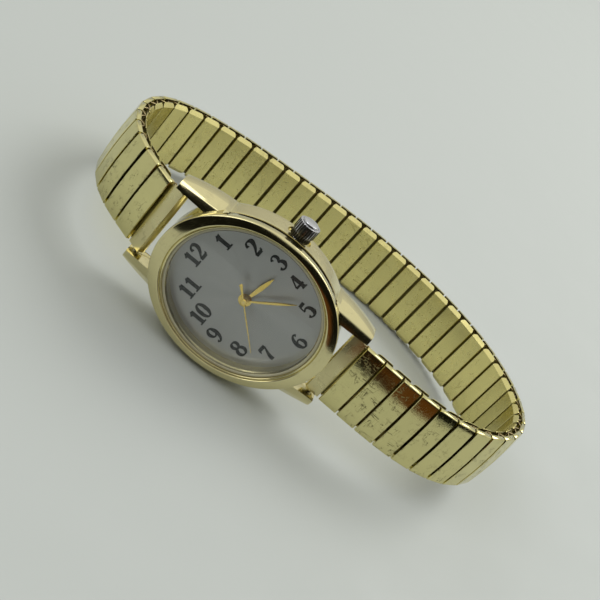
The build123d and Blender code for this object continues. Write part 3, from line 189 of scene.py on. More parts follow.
# Modelling helpers.
def let_go():
    """Leaves edit mode and deselects every object."""
    if bpy.context.object and bpy.context.object.mode != "OBJECT":
        bpy.ops.object.mode_set(mode="OBJECT")
    bpy.ops.object.select_all(action="DESELECT")


def take(piece):
    """Makes a piece the only one selected, in object mode."""
    let_go()
    piece.select_set(True)
    bpy.context.view_layer.objects.active = piece


def open_edit(piece, kind="FACE"):
    """Takes a piece into edit mode with nothing selected."""
    take(piece)
    bpy.ops.object.mode_set(mode="EDIT")
    bpy.ops.mesh.select_mode(type=kind)
    bpy.ops.mesh.select_all(action="DESELECT")


def move(*step):
    """Moves what is selected."""
    bpy.ops.transform.translate(value=step)


def resize(sizes, about=(0, 0, 0)):
    """Resizes what is selected about a place."""
    bpy.ops.transform.resize(value=sizes, center_override=about)


def pick_all():
    """Selects the whole open mesh."""
    bpy.ops.mesh.select_all(action="SELECT")


def pick_faces(piece, wanted):
    """Selects the faces whose middle and normal are wanted."""
    bpy.ops.mesh.select_all(action="DESELECT")
    mesh = bmesh.from_edit_mesh(piece.data)
    mesh.normal_update()
    for face in mesh.faces:
        if wanted(face.calc_center_median(), face.normal):
            face.select_set(True)
    bmesh.update_edit_mesh(piece.data)


def bevel_edges(piece, breadth, steps, wanted):
    """Rounds the edges of the open mesh whose two ends are wanted."""
    bpy.ops.mesh.select_mode(type="EDGE")
    bpy.ops.mesh.select_all(action="DESELECT")
    mesh = bmesh.from_edit_mesh(piece.data)
    for edge in mesh.edges:
        if wanted(edge.verts[0].co, edge.verts[1].co):
            edge.select_set(True)
    bmesh.update_edit_mesh(piece.data)
    bpy.ops.mesh.bevel(offset=breadth, segments=steps, affect="EDGES")


def pick_points(piece, wanted):
    """Selects the points that are wanted."""
    bpy.ops.mesh.select_mode(type="VERT")
    bpy.ops.mesh.select_all(action="DESELECT")
    mesh = bmesh.from_edit_mesh(piece.data)
    for point in mesh.verts:
        if wanted(point.co):
            point.select_set(True)
    mesh.select_flush_mode()
    bmesh.update_edit_mesh(piece.data)


def cut_across(axis, places):
    """Cuts the whole open mesh at places along one axis."""
    normal = [0.0, 0.0, 0.0]
    normal["XYZ".index(axis)] = 1.0
    for place in places:
        pick_all()
        bpy.ops.mesh.bisect(plane_co=[place * share for share in normal], plane_no=normal)


def ease_edges(piece, breadth, steps, angle=0.5):
    """Rounds the sharp edges of a piece with an applied bevel."""
    take(piece)
    bevel = piece.modifiers.new("eased_edges", "BEVEL")
    bevel.limit_method = "ANGLE"
    bevel.angle_limit = angle
    bevel.width = breadth
    bevel.segments = steps
    bevel.use_clamp_overlap = True
    bpy.ops.object.modifier_apply(modifier=bevel.name)


def new_box(size, middle):
    """A box to start a piece from."""
    let_go()
    bpy.ops.mesh.primitive_cube_add(size=1, location=(0, 0, 0))
    box = bpy.context.object
    bpy.ops.object.mode_set(mode="EDIT")
    pick_all()
    resize(size)
    move(*middle)
    return box


def new_object(name, data):
    """A new object in the scene."""
    thing = bpy.data.objects.new(name, data)
    bpy.context.scene.collection.objects.link(thing)
    return thing


def join(*pieces):
    """Joins pieces into the first one."""
    take(pieces[0])
    for piece in pieces[1:]:
        piece.select_set(True)
    bpy.ops.object.join()
    return pieces[0]


def face_outward():
    """Turns every face of the open mesh outward."""
    pick_all()
    bpy.ops.mesh.normals_make_consistent(inside=False)


def draw_out(sides, stations, close):
    """Draws a circle out through half lengths, half widths and heights, then joins or fills its ends."""
    let_go()
    bpy.ops.mesh.primitive_circle_add(vertices=sides, radius=1, location=(0, 0, 0))
    piece = bpy.context.object
    bpy.ops.object.mode_set(mode="EDIT")
    bpy.ops.mesh.select_mode(type="EDGE")
    pick_all()
    length, width, height = stations[0]
    resize((length, width, 1))
    move(0, 0, height)
    if close == "filled":
        bpy.ops.mesh.edge_face_add()
    for next_length, next_width, next_height in stations[1:]:
        bpy.ops.mesh.extrude_edges_move()
        resize((next_length / length, next_width / width, 1))
        move(0, 0, next_height - height)
        length, width, height = next_length, next_width, next_height
    if close == "filled":
        bpy.ops.mesh.edge_face_add()
    if close == "joined":
        bpy.ops.mesh.select_all(action="DESELECT")
        bpy.ops.mesh.select_non_manifold()
        bpy.ops.mesh.bridge_edge_loops()
    face_outward()
    bpy.ops.object.mode_set(mode="OBJECT")
    return piece


def turn_up(sides, profile, close):
    """Draws a round piece out through its radii and heights."""
    return draw_out(sides, [(radius, radius, height) for radius, height in profile], close)


def settle(piece, name, body, finish, nodes=(), angle=32.0, place=WATCH):
    """Puts a finished piece in place, gives it its name and material, hangs it on its body and hides the
    frame nodes it stands for.
    """
    take(piece)
    piece.data.transform(place)
    piece.name = name
    piece.data.name = name
    bpy.ops.object.shade_smooth_by_angle(angle=math.radians(angle))
    if finish is not None:
        piece.data.materials.clear()
        piece.data.materials.append(finish_named(finish))
    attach(piece, body)
    if nodes:
        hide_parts(*nodes)
    return piece


def copy_of_node(node):
    """A merged copy of a frame node's mesh, in the watch's own axes and millimetres."""
    let_go()
    mesh = frame["nodes"][node].data.copy()
    mesh.transform(WATCH.inverted())
    mesh.materials.clear()
    piece = new_object(node + "_dressed", mesh)
    open_edit(piece)
    pick_all()
    bpy.ops.mesh.remove_doubles(threshold=0.0015)
    bpy.ops.mesh.dissolve_limited(angle_limit=math.radians(0.6))
    bpy.ops.object.mode_set(mode="OBJECT")
    return piece


# Materials.
def material_of(name):
    """A fresh node material and its shader."""
    material = bpy.data.materials.new(name)
    material.use_nodes = True
    return material, material.node_tree, material.node_tree.nodes["Principled BSDF"]


def put(tree, target, value):
    """Joins a socket to another one or sets its value; nothing leaves it as it is."""
    if isinstance(value, bpy.types.NodeSocket):
        tree.links.new(value, target)
    elif value is not None:
        target.default_value = value


def feed(tree, node, **inputs):
    """Sets or joins the named sockets of a node."""
    for socket, value in inputs.items():
        put(tree, node.inputs[socket.replace("_", " ")], value)
    return node


def node_in(tree, kind, **inputs):
    """A new shader node with its named sockets set or joined."""
    return feed(tree, tree.nodes.new("ShaderNode" + kind), **inputs)


def maths(tree, operation, *values):
    """Result of a sum on sockets and numbers."""
    node = node_in(tree, "Math")
    node.operation = operation
    for target, value in zip(node.inputs, values):
        put(tree, target, value)
    return node.outputs["Value"]


def mixed(tree, share, first, second):
    """Colour between two colours or sockets."""
    node = node_in(tree, "Mix")
    node.data_type = "RGBA"
    for index, value in ((0, share), (6, first), (7, second)):
        put(tree, node.inputs[index], (*value, 1.0) if isinstance(value, tuple) else value)
    return node.outputs[2]


def spread(tree, value, start, end, low, high):
    """Carries a value from one span over to another and holds it at the ends."""
    node = node_in(
        tree, "MapRange", Value=value, From_Min=start, From_Max=end, To_Min=low, To_Max=high)
    return node.outputs["Result"]


def bump_on(tree, height, strength, depth, below=None):
    """Normal of a surface raised by a height, over another bump if there is one."""
    node = node_in(tree, "Bump", Height=height, Strength=strength, Distance=depth, Normal=below)
    return node.outputs["Normal"]


def shade(colour, share):
    """A colour made darker or lighter."""
    return tuple(min(1.0, channel * share) for channel in colour)


def object_places(tree):
    """Object coordinates."""
    return node_in(tree, "TexCoord").outputs["Object"]


def noise_of(tree, places, scale, detail=2.0, roughness=0.5):
    """Noise over the given places."""
    noise = node_in(tree, "TexNoise", Vector=places, Scale=scale, Detail=detail, Roughness=roughness)
    return noise.outputs["Fac"]


def grain_of(tree, scale, detail, roughness=0.5, stretch=(1.0, 1.0, 1.0), turn=(0.0, 0.0, 0.0)):
    """Noise over object coordinates in millimetres, turned and stretched."""
    pattern = node_in(
        tree, "Mapping", Vector=object_places(tree), Scale=[1000 * share for share in stretch], Rotation=turn)
    return noise_of(tree, pattern.outputs["Vector"], scale, detail, roughness)


def streaks_of(tree, along, scale, detail):
    """Noise along one measure."""
    noise = node_in(tree, "TexNoise", Scale=scale, Detail=detail)
    noise.noise_dimensions = "1D"
    tree.links.new(along, noise.inputs["W"])
    return noise.outputs["Fac"]


def ramp_of(tree, factor, stops):
    """Colour ramp with stops of place and grey level or colour."""
    ramp = node_in(tree, "ValToRGB", Fac=factor)
    for place, _ in stops[2:]:
        ramp.color_ramp.elements.new(place)
    for element, (place, level) in zip(ramp.color_ramp.elements, stops):
        element.position = place
        element.color = (*level, 1.0) if isinstance(level, tuple) else (level, level, level, 1.0)
    return ramp.outputs["Color"]


def worn_metal(name, colour, roughness, scratches, wear, grain=(1.0, 1.0, 1.0), waviness=0.0):
    """Polished or brushed metal: smears, fine scratches and a slow waviness."""
    material, tree, shader = material_of(name)
    smear = grain_of(tree, 0.35, 4.0, 0.6)
    fine = grain_of(tree, 5.0, 3.0, 0.6, grain)
    level = spread(tree, smear, 0.3, 0.75, roughness * 0.75, roughness * 1.5)
    # Hair scratches: thin bands picked out of long stretched noise in two directions, chopped short.
    first = grain_of(tree, 1.0, 1.0, 0.5, (0.3, 2.6, 1.8), (0.3, 0.9, 0.5))
    second = grain_of(tree, 1.1, 1.0, 0.5, (2.4, 1.6, 0.3), (0.5, -0.5, 0.2))
    lines = maths(
        tree, "MAXIMUM", ramp_of(tree, first, ((0.465, 0.0), (0.5, 1.0), (0.535, 0.0))),
        ramp_of(tree, second, ((0.470, 0.0), (0.5, 1.0), (0.530, 0.0))))
    short = ramp_of(tree, grain_of(tree, 0.85, 1.0), ((0.48, 0.0), (0.55, 1.0)))
    worn = ramp_of(tree, grain_of(tree, 0.22, 2.0), ((0.40, 0.0), (0.60, 1.0)))
    scuffs = maths(tree, "MULTIPLY", lines, maths(tree, "MULTIPLY", short, worn))
    tone = mixed(tree, smear, shade(colour, 1 - wear), shade(colour, 1 + wear))
    dull = maths(tree, "MULTIPLY", scuffs, min(0.9, scratches))
    height = maths(tree, "MULTIPLY_ADD", scuffs, -scratches, fine)
    wave = None
    if waviness:
        wave = bump_on(tree, grain_of(tree, 0.16, 1.0), waviness, 0.0006)
    feed(
        tree, shader, Metallic=1.0, Base_Color=mixed(tree, dull, tone, shade(colour, 0.25)),
        Roughness=maths(tree, "MULTIPLY_ADD", scuffs, scratches * 0.5, level),
        Normal=bump_on(tree, height, 0.06 + 0.2 * scratches, 0.00002, wave))
    return material


def plain_finish(name, colour, roughness, mottle, scale, coat=0.0, gloss=0.5):
    """Paint, plastic or rubber with a mottled tone and a fine grain."""
    material, tree, shader = material_of(name)
    spots = grain_of(tree, scale, 4.0, 0.6)
    feed(
        tree, shader, Base_Color=mixed(tree, spots, shade(colour, 1 - mottle), shade(colour, 1 + mottle)),
        Roughness=spread(tree, spots, 0.3, 0.7, roughness * 0.85, min(1.0, roughness * 1.15)),
        Coat_Weight=coat, Specular_IOR_Level=gloss, Normal=bump_on(tree, spots, 0.15, 0.00002))
    return material


def sunray_silver(name, colour):
    """Silvered dial: fine rays from the hands' axis, in tone, roughness and surface."""
    material, tree, shader = material_of(name)
    inward = WATCH.inverted()
    centred = node_in(
        tree, "Mapping", Vector=object_places(tree), Location=inward.to_translation(),
        Rotation=inward.to_euler(), Scale=(1000, 1000, 1000))
    parts = node_in(tree, "SeparateXYZ", Vector=centred.outputs["Vector"]).outputs
    bearing = maths(tree, "ARCTAN2", parts["Y"], parts["X"])
    rays = streaks_of(tree, bearing, 60.0, 4.0)
    both = maths(tree, "MULTIPLY_ADD", rays, 0.25, streaks_of(tree, bearing, 1.6, 1.0))
    feed(
        tree, shader, Metallic=0.85, Base_Color=mixed(tree, both, shade(colour, 0.86), shade(colour, 1.12)),
        Roughness=spread(tree, rays, 0.3, 0.7, 0.36, 0.48), Normal=bump_on(tree, rays, 0.12, 0.00003))
    return material


def clear_glass(name, tint):
    """Mineral glass with faint smears; light passes straight through it to what lies below."""
    material, tree, shader = material_of(name)
    smears = grain_of(tree, 0.3, 3.0)
    feed(
        tree, shader, Base_Color=(*tint, 1.0), Transmission_Weight=1.0, IOR=1.45, Specular_IOR_Level=0.2,
        Roughness=spread(tree, smears, 0.3, 0.7, 0.0, 0.03))
    surface = node_in(tree, "MixShader")
    for target, value in zip(surface.inputs, (
        node_in(tree, "LightPath").outputs["Is Shadow Ray"], shader.outputs["BSDF"],
        node_in(tree, "BsdfTransparent").outputs["BSDF"],
    )):
        put(tree, target, value)
    feed(tree, tree.nodes["Material Output"], Surface=surface.outputs["Shader"])
    return material


def wound_copper(name, colour):
    """Lacquered copper wire: close turns round the core, which runs from 9 to 3 o'clock."""
    material, tree, shader = material_of(name)
    along = node_in(tree, "VectorMath", Vector=object_places(tree))
    along.operation = "DOT_PRODUCT"
    along.inputs[1].default_value = WATCH.to_3x3().col[1].normalized()
    turns = maths(tree, "MULTIPLY", along.outputs["Value"], 2 * math.pi / (0.1 * MILLIMETRE))
    rounds = maths(tree, "SINE", turns)
    # Painted shade: the wire's colour darkens to half between the turns.
    feed(
        tree, shader, Metallic=0.9, Roughness=0.3,
        Base_Color=ramp_of(tree, rounds, ((0.0, shade(colour, 0.5)), (1.0, colour))),
        Normal=bump_on(tree, rounds, 0.6, 0.00003))
    return material


FINISHES = {}


def finish_named(name):
    """A material made by the finishes step."""
    if name not in FINISHES:
        raise RuntimeError("run the finishes step first: there is no finish " + name)
    return FINISHES[name]


def finish_node(node, finish):
    """Gives its finish to a frame node that is shown as it is."""
    materials = frame["nodes"][node].data.materials
    materials.clear()
    materials.append(finish_named(finish))


# Sizes and colours that a user may change.
class WatchShape(bpy.types.PropertyGroup):
    """Sizes of the modelled pieces, in millimetres."""

    bezel_half_length: FloatProperty(
        name="Bezel half length", default=14.2,
        description="From the hands' axis to the bezel's edge toward 6, in mm")
    bezel_half_width: FloatProperty(
        name="Bezel half width", default=11.5,
        description="From the hands' axis to the bezel's edge toward 3, in mm")
    opening_half_length: FloatProperty(
        name="Opening half length", description="Half length of the bezel's opening, in mm", default=11.85)
    opening_half_width: FloatProperty(
        name="Opening half width", description="Half width of the bezel's opening, in mm", default=10.25)
    glass_dome: FloatProperty(
        name="Glass dome", description="Rise of the glass from its edge to its middle, in mm", default=0.5)
    figure_height: FloatProperty(
        name="Figure height", description="Height of an hour figure, in mm", default=2.4)
    cap_crown: FloatProperty(
        name="Cap crown", description="How far a cap's outer face falls toward its ends, in mm", default=0.32)
    cap_rounding: FloatProperty(
        name="Cap rounding", description="Rounding of a cap's ends, in mm", default=0.26)
    pad_length: FloatProperty(
        name="Pad length", description="Length of the sloping pad at each end of a shell, in mm", default=0.6)
    band_wall: FloatProperty(
        name="Band wall", description="Thickness of the sheet of the caps and shells, in mm", default=0.05)
    crown_flutes: IntProperty(
        name="Crown flutes", description="Flutes round the crown", default=26, min=12)
    edge_ease: FloatProperty(
        name="Edge ease", description="Rounding of the case's sharp edges, in mm", default=0.16)


class WatchFinish(bpy.types.PropertyGroup):
    """Colours of the finishes."""

    gold: FloatVectorProperty(
        name="Gold", description="Reflected colour of the gold tone", subtype="COLOR", size=3,
        default=(0.70, 0.63, 0.34))
    band_gold: FloatVectorProperty(
        name="Band gold", description="Reflected colour of the bracelet's gold tone", subtype="COLOR", size=3,
        default=(0.68, 0.62, 0.29))
    steel: FloatVectorProperty(
        name="Steel", description="Reflected colour of the crown's and back's steel", subtype="COLOR", size=3,
        default=(0.60, 0.60, 0.61))
    dial: FloatVectorProperty(
        name="Dial", description="Tone of the silvered dial", subtype="COLOR", size=3,
        default=(0.40, 0.40, 0.385))
    ink: FloatVectorProperty(
        name="Ink", description="Colour of the hour figures", subtype="COLOR", size=3,
        default=(0.004, 0.006, 0.005))
    table: FloatVectorProperty(
        name="Table", description="Colour of the table", subtype="COLOR", size=3,
        default=(0.475, 0.50, 0.475))
    scratches: FloatProperty(
        name="Scratches", description="Strength of the band's scuffs", subtype="FACTOR", default=0.8, min=0,
        max=1)


class WatchStage(bpy.types.PropertyGroup):
    """Light and camera."""

    lens: FloatProperty(
        name="Lens", description="Focal length of the camera", default=66.2, unit="CAMERA")
    room_light: FloatProperty(
        name="Room light", description="Strength of the light from all round", default=0.9)
    window_light: FloatProperty(
        name="Window light", description="Power of the large soft light, in watts", default=1.6)


class WATCH_OT_finishes(bpy.types.Operator):
    """Makes every material of the watch"""

    bl_idname = "watch.finishes"
    bl_label = "Finishes"

    def execute(self, context):
        look = context.scene.watch_finish
        gold, band, steel = tuple(look.gold), tuple(look.band_gold), tuple(look.steel)
        even = (1.0, 1.0, 1.0)
        # Colour, roughness, scratches, wear, grain, waviness.
        for name, *measures in (
            ("gold_case", gold, 0.13, 0.25, 0.06, even, 0.02),
            ("gold_bezel", gold, 0.10, 0.15, 0.05),
            ("gold_end", gold, 0.28, 0.4, 0.06),
            ("gold_band", band, 0.09, look.scratches, 0.08, even, 0.03),
            # Painted light: the shells' gold is the band's gold made lighter.
            ("gold_inside", (band[0] * 1.12, band[1] * 1.10, band[2] * 0.98), 0.22, 0.3, 0.10, even, 0.05),
            ("gold_staples", (0.42, 0.33, 0.16), 0.3, 0.2, 0.15),
            ("gold_hands", (0.85, 0.62, 0.16), 0.16, 0.05, 0.03),
            ("steel_crown", steel, 0.2, 0.2, 0.05),
            # Painted shade: the crown's grooves are painted nearly black steel.
            ("steel_grooves", (0.10, 0.095, 0.08), 0.3, 0.2, 0.1),
            ("steel_back", steel, 0.28, 0.4, 0.06, (0.06, 3.0, 3.0)),
            ("steel_parts", (0.55, 0.55, 0.56), 0.22, 0.15, 0.05),
            ("plate_brass", (0.72, 0.56, 0.27), 0.3, 0.1, 0.05),
            ("wheel_brass", (0.78, 0.60, 0.27), 0.2, 0.05, 0.04),
            ("magnet_dark", (0.16, 0.16, 0.17), 0.35, 0.05, 0.08),
        ):
            FINISHES[name] = worn_metal(name, *measures)
        # Colour, roughness, mottle, scale, coat, gloss.
        for name, *measures in (
            # Painted shade: the inner sides of the caps and shells, seen in the gaps between them, are
            # painted dark olive.
            ("gold_hollows", (0.32, 0.28, 0.08), 0.5, 0.1, 0.3),
            ("dial_ink", tuple(look.ink), 0.6, 0.2, 6.0, 0.0, 0.08),
            ("rubber_black", (0.03, 0.03, 0.03), 0.6, 0.2, 8.0),
            ("ring_plastic", (0.70, 0.68, 0.62), 0.45, 0.05, 3.0),
            ("gasket_clear", (0.50, 0.47, 0.33), 0.4, 0.1, 3.0),
            ("board_green", (0.05, 0.19, 0.09), 0.4, 0.2, 5.0, 0.4),
        ):
            FINISHES[name] = plain_finish(name, *measures)
        FINISHES["dial_silver"] = sunray_silver("dial_silver", tuple(look.dial))
        FINISHES["glass"] = clear_glass("glass", (0.97, 0.98, 0.98))
        FINISHES["copper_wire"] = wound_copper("copper_wire", (0.70, 0.27, 0.12))
        return {"FINISHED"}


class WATCH_OT_bezel(bpy.types.Operator):
    """Draws the gold bezel out of an oval, through its inner lip, groove, slope and outer edge"""

    bl_idname = "watch.bezel"
    bl_label = "Bezel"

    def execute(self, context):
        shape = context.scene.watch_shape
        length, width = shape.opening_half_length, shape.opening_half_width
        ring = draw_out(160, [(
            length + share * (shape.bezel_half_length - length),
            width + share * (shape.bezel_half_width - width),
            height,
        ) for share, height in BEZEL_PROFILE], "joined")
        settle(ring, "bezel_ring", "case", "gold_bezel", ("bezel",), angle=50)
        return {"FINISHED"}


def cut_lugs(case):
    """Planes the lugs' tops so that each falls outward to a ridge, and steeper beyond it."""
    body = draw_out(160, [(*CASE_OVAL, -5.0), (*CASE_OVAL, 5.0)], "filled")
    for point, normal in LUG_PLANES:
        cutters = []
        for side, edge in ((1, 1), (1, -1), (-1, 1), (-1, -1)):
            middle, at, facing = (
                (side * x, edge * y, z) for x, y, z in (LUG_BLOCK[1], point, normal))
            cutters.append(new_box(LUG_BLOCK[0], middle))
            pick_all()
            bpy.ops.mesh.bisect(plane_co=at, plane_no=facing, use_fill=True, clear_inner=True)
            face_outward()
        wedge = join(*cutters)
        for target, tool in ((wedge, body), (case, wedge)):
            take(target)
            cut = target.modifiers.new("cut", "BOOLEAN")
            cut.operation = "DIFFERENCE"
            cut.solver = "EXACT"
            cut.object = tool
            bpy.ops.object.modifier_apply(modifier=cut.name)
        bpy.data.objects.remove(wedge)
    bpy.data.objects.remove(body)


class WATCH_OT_case(bpy.types.Operator):
    """Planes the lugs and eases the edges of the case, its back, the end pieces and the spring bars"""

    bl_idname = "watch.case"
    bl_label = "Case"

    def execute(self, context):
        shape = context.scene.watch_shape
        for node, name, ease, finish, slot in (
            ("case_middle", "case_body", shape.edge_ease, "gold_case", "gold_tone"),
            ("case_back", "back_cover", 0.12, "steel_back", "brushed_back"),
            ("end_piece_6", "end_link_6", 0.08, "gold_end", "gold_tone"),
            ("end_piece_12", "end_link_12", 0.08, "gold_end", "gold_tone"),
            ("spring_bars", "bars", 0.06, "steel_parts", "steel"),
        ):
            piece = copy_of_node(node)
            if node == "case_middle":
                cut_lugs(piece)
            ease_edges(piece, ease, 3)
            settle(piece, name, "case", finish, (node,))
        return {"FINISHED"}


class WATCH_OT_glass(bpy.types.Operator):
    """Draws the domed glass and its gasket"""

    bl_idname = "watch.glass"
    bl_label = "Glass"

    def execute(self, context):
        shape = context.scene.watch_shape
        outer = (shape.opening_half_length - 0.02, shape.opening_half_width - 0.02)
        length, width = shape.opening_half_length - 0.42, shape.opening_half_width - 0.42
        # Heights of the rim's foot and top, and how far the underside is hollowed.
        low, edge, hollow = 1.75, 2.45, 0.2
        stations = [(length * 0.02, width * 0.02, low + hollow)]
        for share in (0.25, 0.5, 0.75, 0.9, 1.0):
            stations.append((length * share, width * share, low + hollow * (1 - share ** 2)))
        stations.append((length, width, edge))
        for share in (0.985, 0.96, 0.92, 0.85, 0.75, 0.6, 0.4, 0.2, 0.02):
            height = edge + 0.1 * min(1.0, (1 - share) / 0.04) + shape.glass_dome * (1 - share ** 2)
            stations.append((length * share, width * share, height))
        crystal = draw_out(128, stations, "filled")
        settle(crystal, "glass_dome", "case", "glass", ("crystal",), angle=40)
        ring = draw_out(128, [
            (*outer, low), (*outer, edge - 0.08),
            (shape.opening_half_length - 0.12, shape.opening_half_width - 0.12, edge - 0.02),
            (length + 0.1, width + 0.1, edge - 0.02),
            (length + 0.02, width + 0.02, edge - 0.08),
            (length + 0.02, width + 0.02, low),
        ], "joined")
        settle(ring, "glass_gasket", "case", "gasket_clear", ("crystal_gasket",))
        return {"FINISHED"}


def figure_stroke(kind, points, height):
    """One pen stroke as a curve with a breadth at each point, made a flat raised mesh."""
    drawing = bpy.data.curves.new("stroke", "CURVE")
    drawing.dimensions = "3D"
    drawing.bevel_depth = 1.0
    drawing.bevel_resolution = 2
    drawing.resolution_u = 6
    drawing.use_fill_caps = True
    line = drawing.splines.new("BEZIER")
    line.bezier_points.add(len(points) - 1)
    line.use_cyclic_u = kind == "closed"
    unit = height / 100
    for point, (across, up, breadth) in zip(line.bezier_points, points):
        point.co = (-up * unit, across * unit, 0.0)
        point.radius = 0.75 * breadth * unit
        point.handle_left_type = "VECTOR" if kind == "straight" else "AUTO"
        point.handle_right_type = point.handle_left_type
    take(new_object("stroke", drawing))
    bpy.ops.object.convert(target="MESH")
    return bpy.context.object


class WATCH_OT_dial(bpy.types.Operator):
    """Prints the hour figures on the silvered dial and finishes the dial and its ring"""

    bl_idname = "watch.dial"
    bl_label = "Dial"

    def execute(self, context):
        height = context.scene.watch_shape.figure_height
        for hour, (toward_6, toward_3) in FIGURE_PLACES.items():
            digits = str(hour)
            strokes = []
            for position, digit in enumerate(digits):
                shift = FIGURE_ADVANCE * height * (position - (len(digits) - 1) / 2) - FIGURE_MIDDLE * height
                for kind, *points in FIGURE_STROKES[digit]:
                    stroke = figure_stroke(kind, points, height)
                    place = (toward_6 + height / 2, toward_3 + shift, 0.0)
                    stroke.data.transform(Matrix.Translation(place))
                    strokes.append(stroke)
            figure = join(*strokes)
            bpy.ops.object.mode_set(mode="EDIT")
            pick_all()
            resize((1, 1, FIGURE_RELIEF))
            face_outward()
            settle(
                figure, "figure_%02d" % hour, "case", "dial_ink", angle=60,
                place=WATCH @ Matrix.Translation((0, 0, FIGURE_LIFT)))
        finish_node("dial", "dial_silver")
        finish_node("dial_ring", "gold_bezel")
        return {"FINISHED"}


def leaf_hand(length, width, stem, hub, bore, low):
    """A leaf-shaped hand along +X: a ridged blade drawn out of a box, and a hub ring."""
    top = low + HAND_THICKNESS
    middle = low + HAND_THICKNESS / 2
    blade = new_box((0.2, stem, HAND_THICKNESS), (hub * 0.8, 0, middle))
    pick_faces(blade, lambda place, normal: normal.x > 0.9)
    reach, breadth = hub * 0.8 + 0.1, stem
    for place, share in ((0.24, 0.72), (0.42, 0.92), (0.6, 1.0), (0.82, 0.74), (1.0, 0.12)):
        bpy.ops.mesh.extrude_region_move()
        move(length * place - reach, 0, 0)
        reach = length * place
        resize((1, share * width / breadth, 1), (reach, 0, middle))
        breadth = share * width
    cut_across("Y", (0.0,))
    ridge_from = low + HAND_THICKNESS * 0.9
    pick_points(blade, lambda point: abs(point.y) < 1e-4 and point.z > ridge_from and point.x > hub)
    move(0, 0, HAND_RIDGE)
    return join(blade, turn_up(48, [
        (bore, low), (bore, top), (hub * 0.9, top), (hub, low + HAND_THICKNESS * 0.6), (hub, low),
    ], "joined"))


def dial_turn(angle_past_12):
    """Turn that carries +X to an angle past 12 o'clock on the dial."""
    return Matrix.Rotation(math.radians(180 - angle_past_12), 4, "Z")


class WATCH_OT_hands(bpy.types.Operator):
    """Makes the hour, minute and second hands"""

    bl_idname = "watch.hands"
    bl_label = "Hands"

    def execute(self, context):
        # Length, breadth, breadth of the stem, radii of hub and bore, height.
        for name, body, node, turn, measures in (
            ("hand_hour", "hour_arbor", "hour_hand", HOUR_TURN, (5.2, 0.66, 0.34, 0.95, 0.62, 0.5)),
            ("hand_minute", "centre_arbor", "minute_hand", MINUTE_TURN, (7.3, 0.42, 0.26, 0.8, 0.42, 0.92)),
        ):
            settle(
                leaf_hand(*measures), name, body, "gold_hands", (node,),
                place=WATCH @ dial_turn(turn))
        low = SECOND_HAND_HEIGHT
        middle, top = low + HAND_THICKNESS / 2, low + HAND_THICKNESS
        needle = new_box((10.0, 0.16, HAND_THICKNESS * 0.8), (2.6, 0, middle))
        cut_across("X", (-2.0, -0.7, 0.5, 3.0))
        pick_faces(needle, lambda place, normal: normal.x > 0.9)
        resize((1, 0.45, 0.7), (7.6, 0, middle))
        pick_points(needle, lambda point: point.x < -1.9)
        resize((1, 2.3, 1), (0, 0, middle))
        hub = turn_up(48, [(0.16, low), (0.16, top), (0.38, top), (0.45, middle), (0.45, low)], "joined")
        weight = turn_up(
            32, [(0.02, low), (0.28, low), (0.28, low + 0.08), (0.22, top), (0.02, top)], "filled")
        weight.data.transform(Matrix.Translation((-2.4, 0, 0)))
        settle(
            join(needle, hub, weight), "hand_second", "second_arbor", "gold_hands",
            ("second_hand",), place=WATCH @ dial_turn(SECOND_TURN))
        return {"FINISHED"}


class WATCH_OT_crown(bpy.types.Operator):
    """Turns the fluted crown with its polished end"""

    bl_idname = "watch.crown"
    bl_label = "Crown"

    def execute(self, context):
        flutes = context.scene.watch_shape.crown_flutes
        # Reaches of the crown's foot and end from the hands' axis, and its radius.
        low, high, outer = 11.35, 14.3, 1.65
        knob = turn_up(flutes * 4, [
            (1.02, high - 0.95), (1.02, low), (1.36, low), (1.5, low + 0.06), (1.5, low + 0.85),
            (1.44, low + 0.9), (1.44, low + 0.96), (outer, low + 1.02), (outer, high - 0.42),
            (outer - 0.04, high - 0.36), (1.38, high - 0.34), (1.38, high - 0.42), (1.2, high - 0.42),
            (1.2, high - 0.2), (1.14, high - 0.11), (0.9, high - 0.04), (0.5, high), (0.05, high),
        ], "filled")
        open_edit(knob)
        step = 2 * math.pi / (flutes * 4)

        def in_groove(point):
            turn = round(math.atan2(point.y, point.x) / step) % 4
            return turn in (0, 1) and math.hypot(point.x, point.y) > 1.45 and point.z < high - 0.4

        pick_points(knob, in_groove)
        resize((0.88, 0.88, 1))
        for finish in ("steel_crown", "steel_grooves"):
            knob.data.materials.append(finish_named(finish))
        # The groove faces take the painted shade.
        pick_faces(knob, lambda middle, normal: (
            math.hypot(middle.x, middle.y) < 1.6 and abs(normal.z) < 0.5 and low < middle.z < high - 0.38
        ))
        knob.active_material_index = 1
        bpy.ops.object.material_slot_assign()
        along_stem = Matrix.Translation((0, 0, STEM_HEIGHT)) @ Matrix.Rotation(math.radians(-90), 4, "X")
        settle(knob, "crown_knob", "stem", None, ("crown",), angle=35, place=WATCH @ along_stem)
        return {"FINISHED"}


class WATCH_OT_movement(bpy.types.Operator):
    """Finishes the pieces of the movement that stay as the frame has them"""

    bl_idname = "watch.movement"
    bl_label = "Movement"

    def execute(self, context):
        for finish, nodes in (
            ("rubber_black", ("case_back_gasket", "crown_gasket")),
            ("ring_plastic", ("movement_ring",)),
            ("plate_brass", ("main_plate", "train_bridge")),
            ("wheel_brass", ("hour_wheel", "minute_wheel", "centre_wheel", "second_wheel", "third_wheel",
                             "intermediate_wheel")),
            ("magnet_dark", ("rotor",)),
            ("steel_parts", ("stator", "coil_core", "quartz_can", "battery", "battery_clip", "crown_tube",
                             "winding_stem", "clutch_wheel", "setting_lever")),
            ("copper_wire", ("coil",)),
            ("board_green", ("circuit_board",)),
        ):
            for node in nodes:
                finish_node(node, finish)
        return {"FINISHED"}


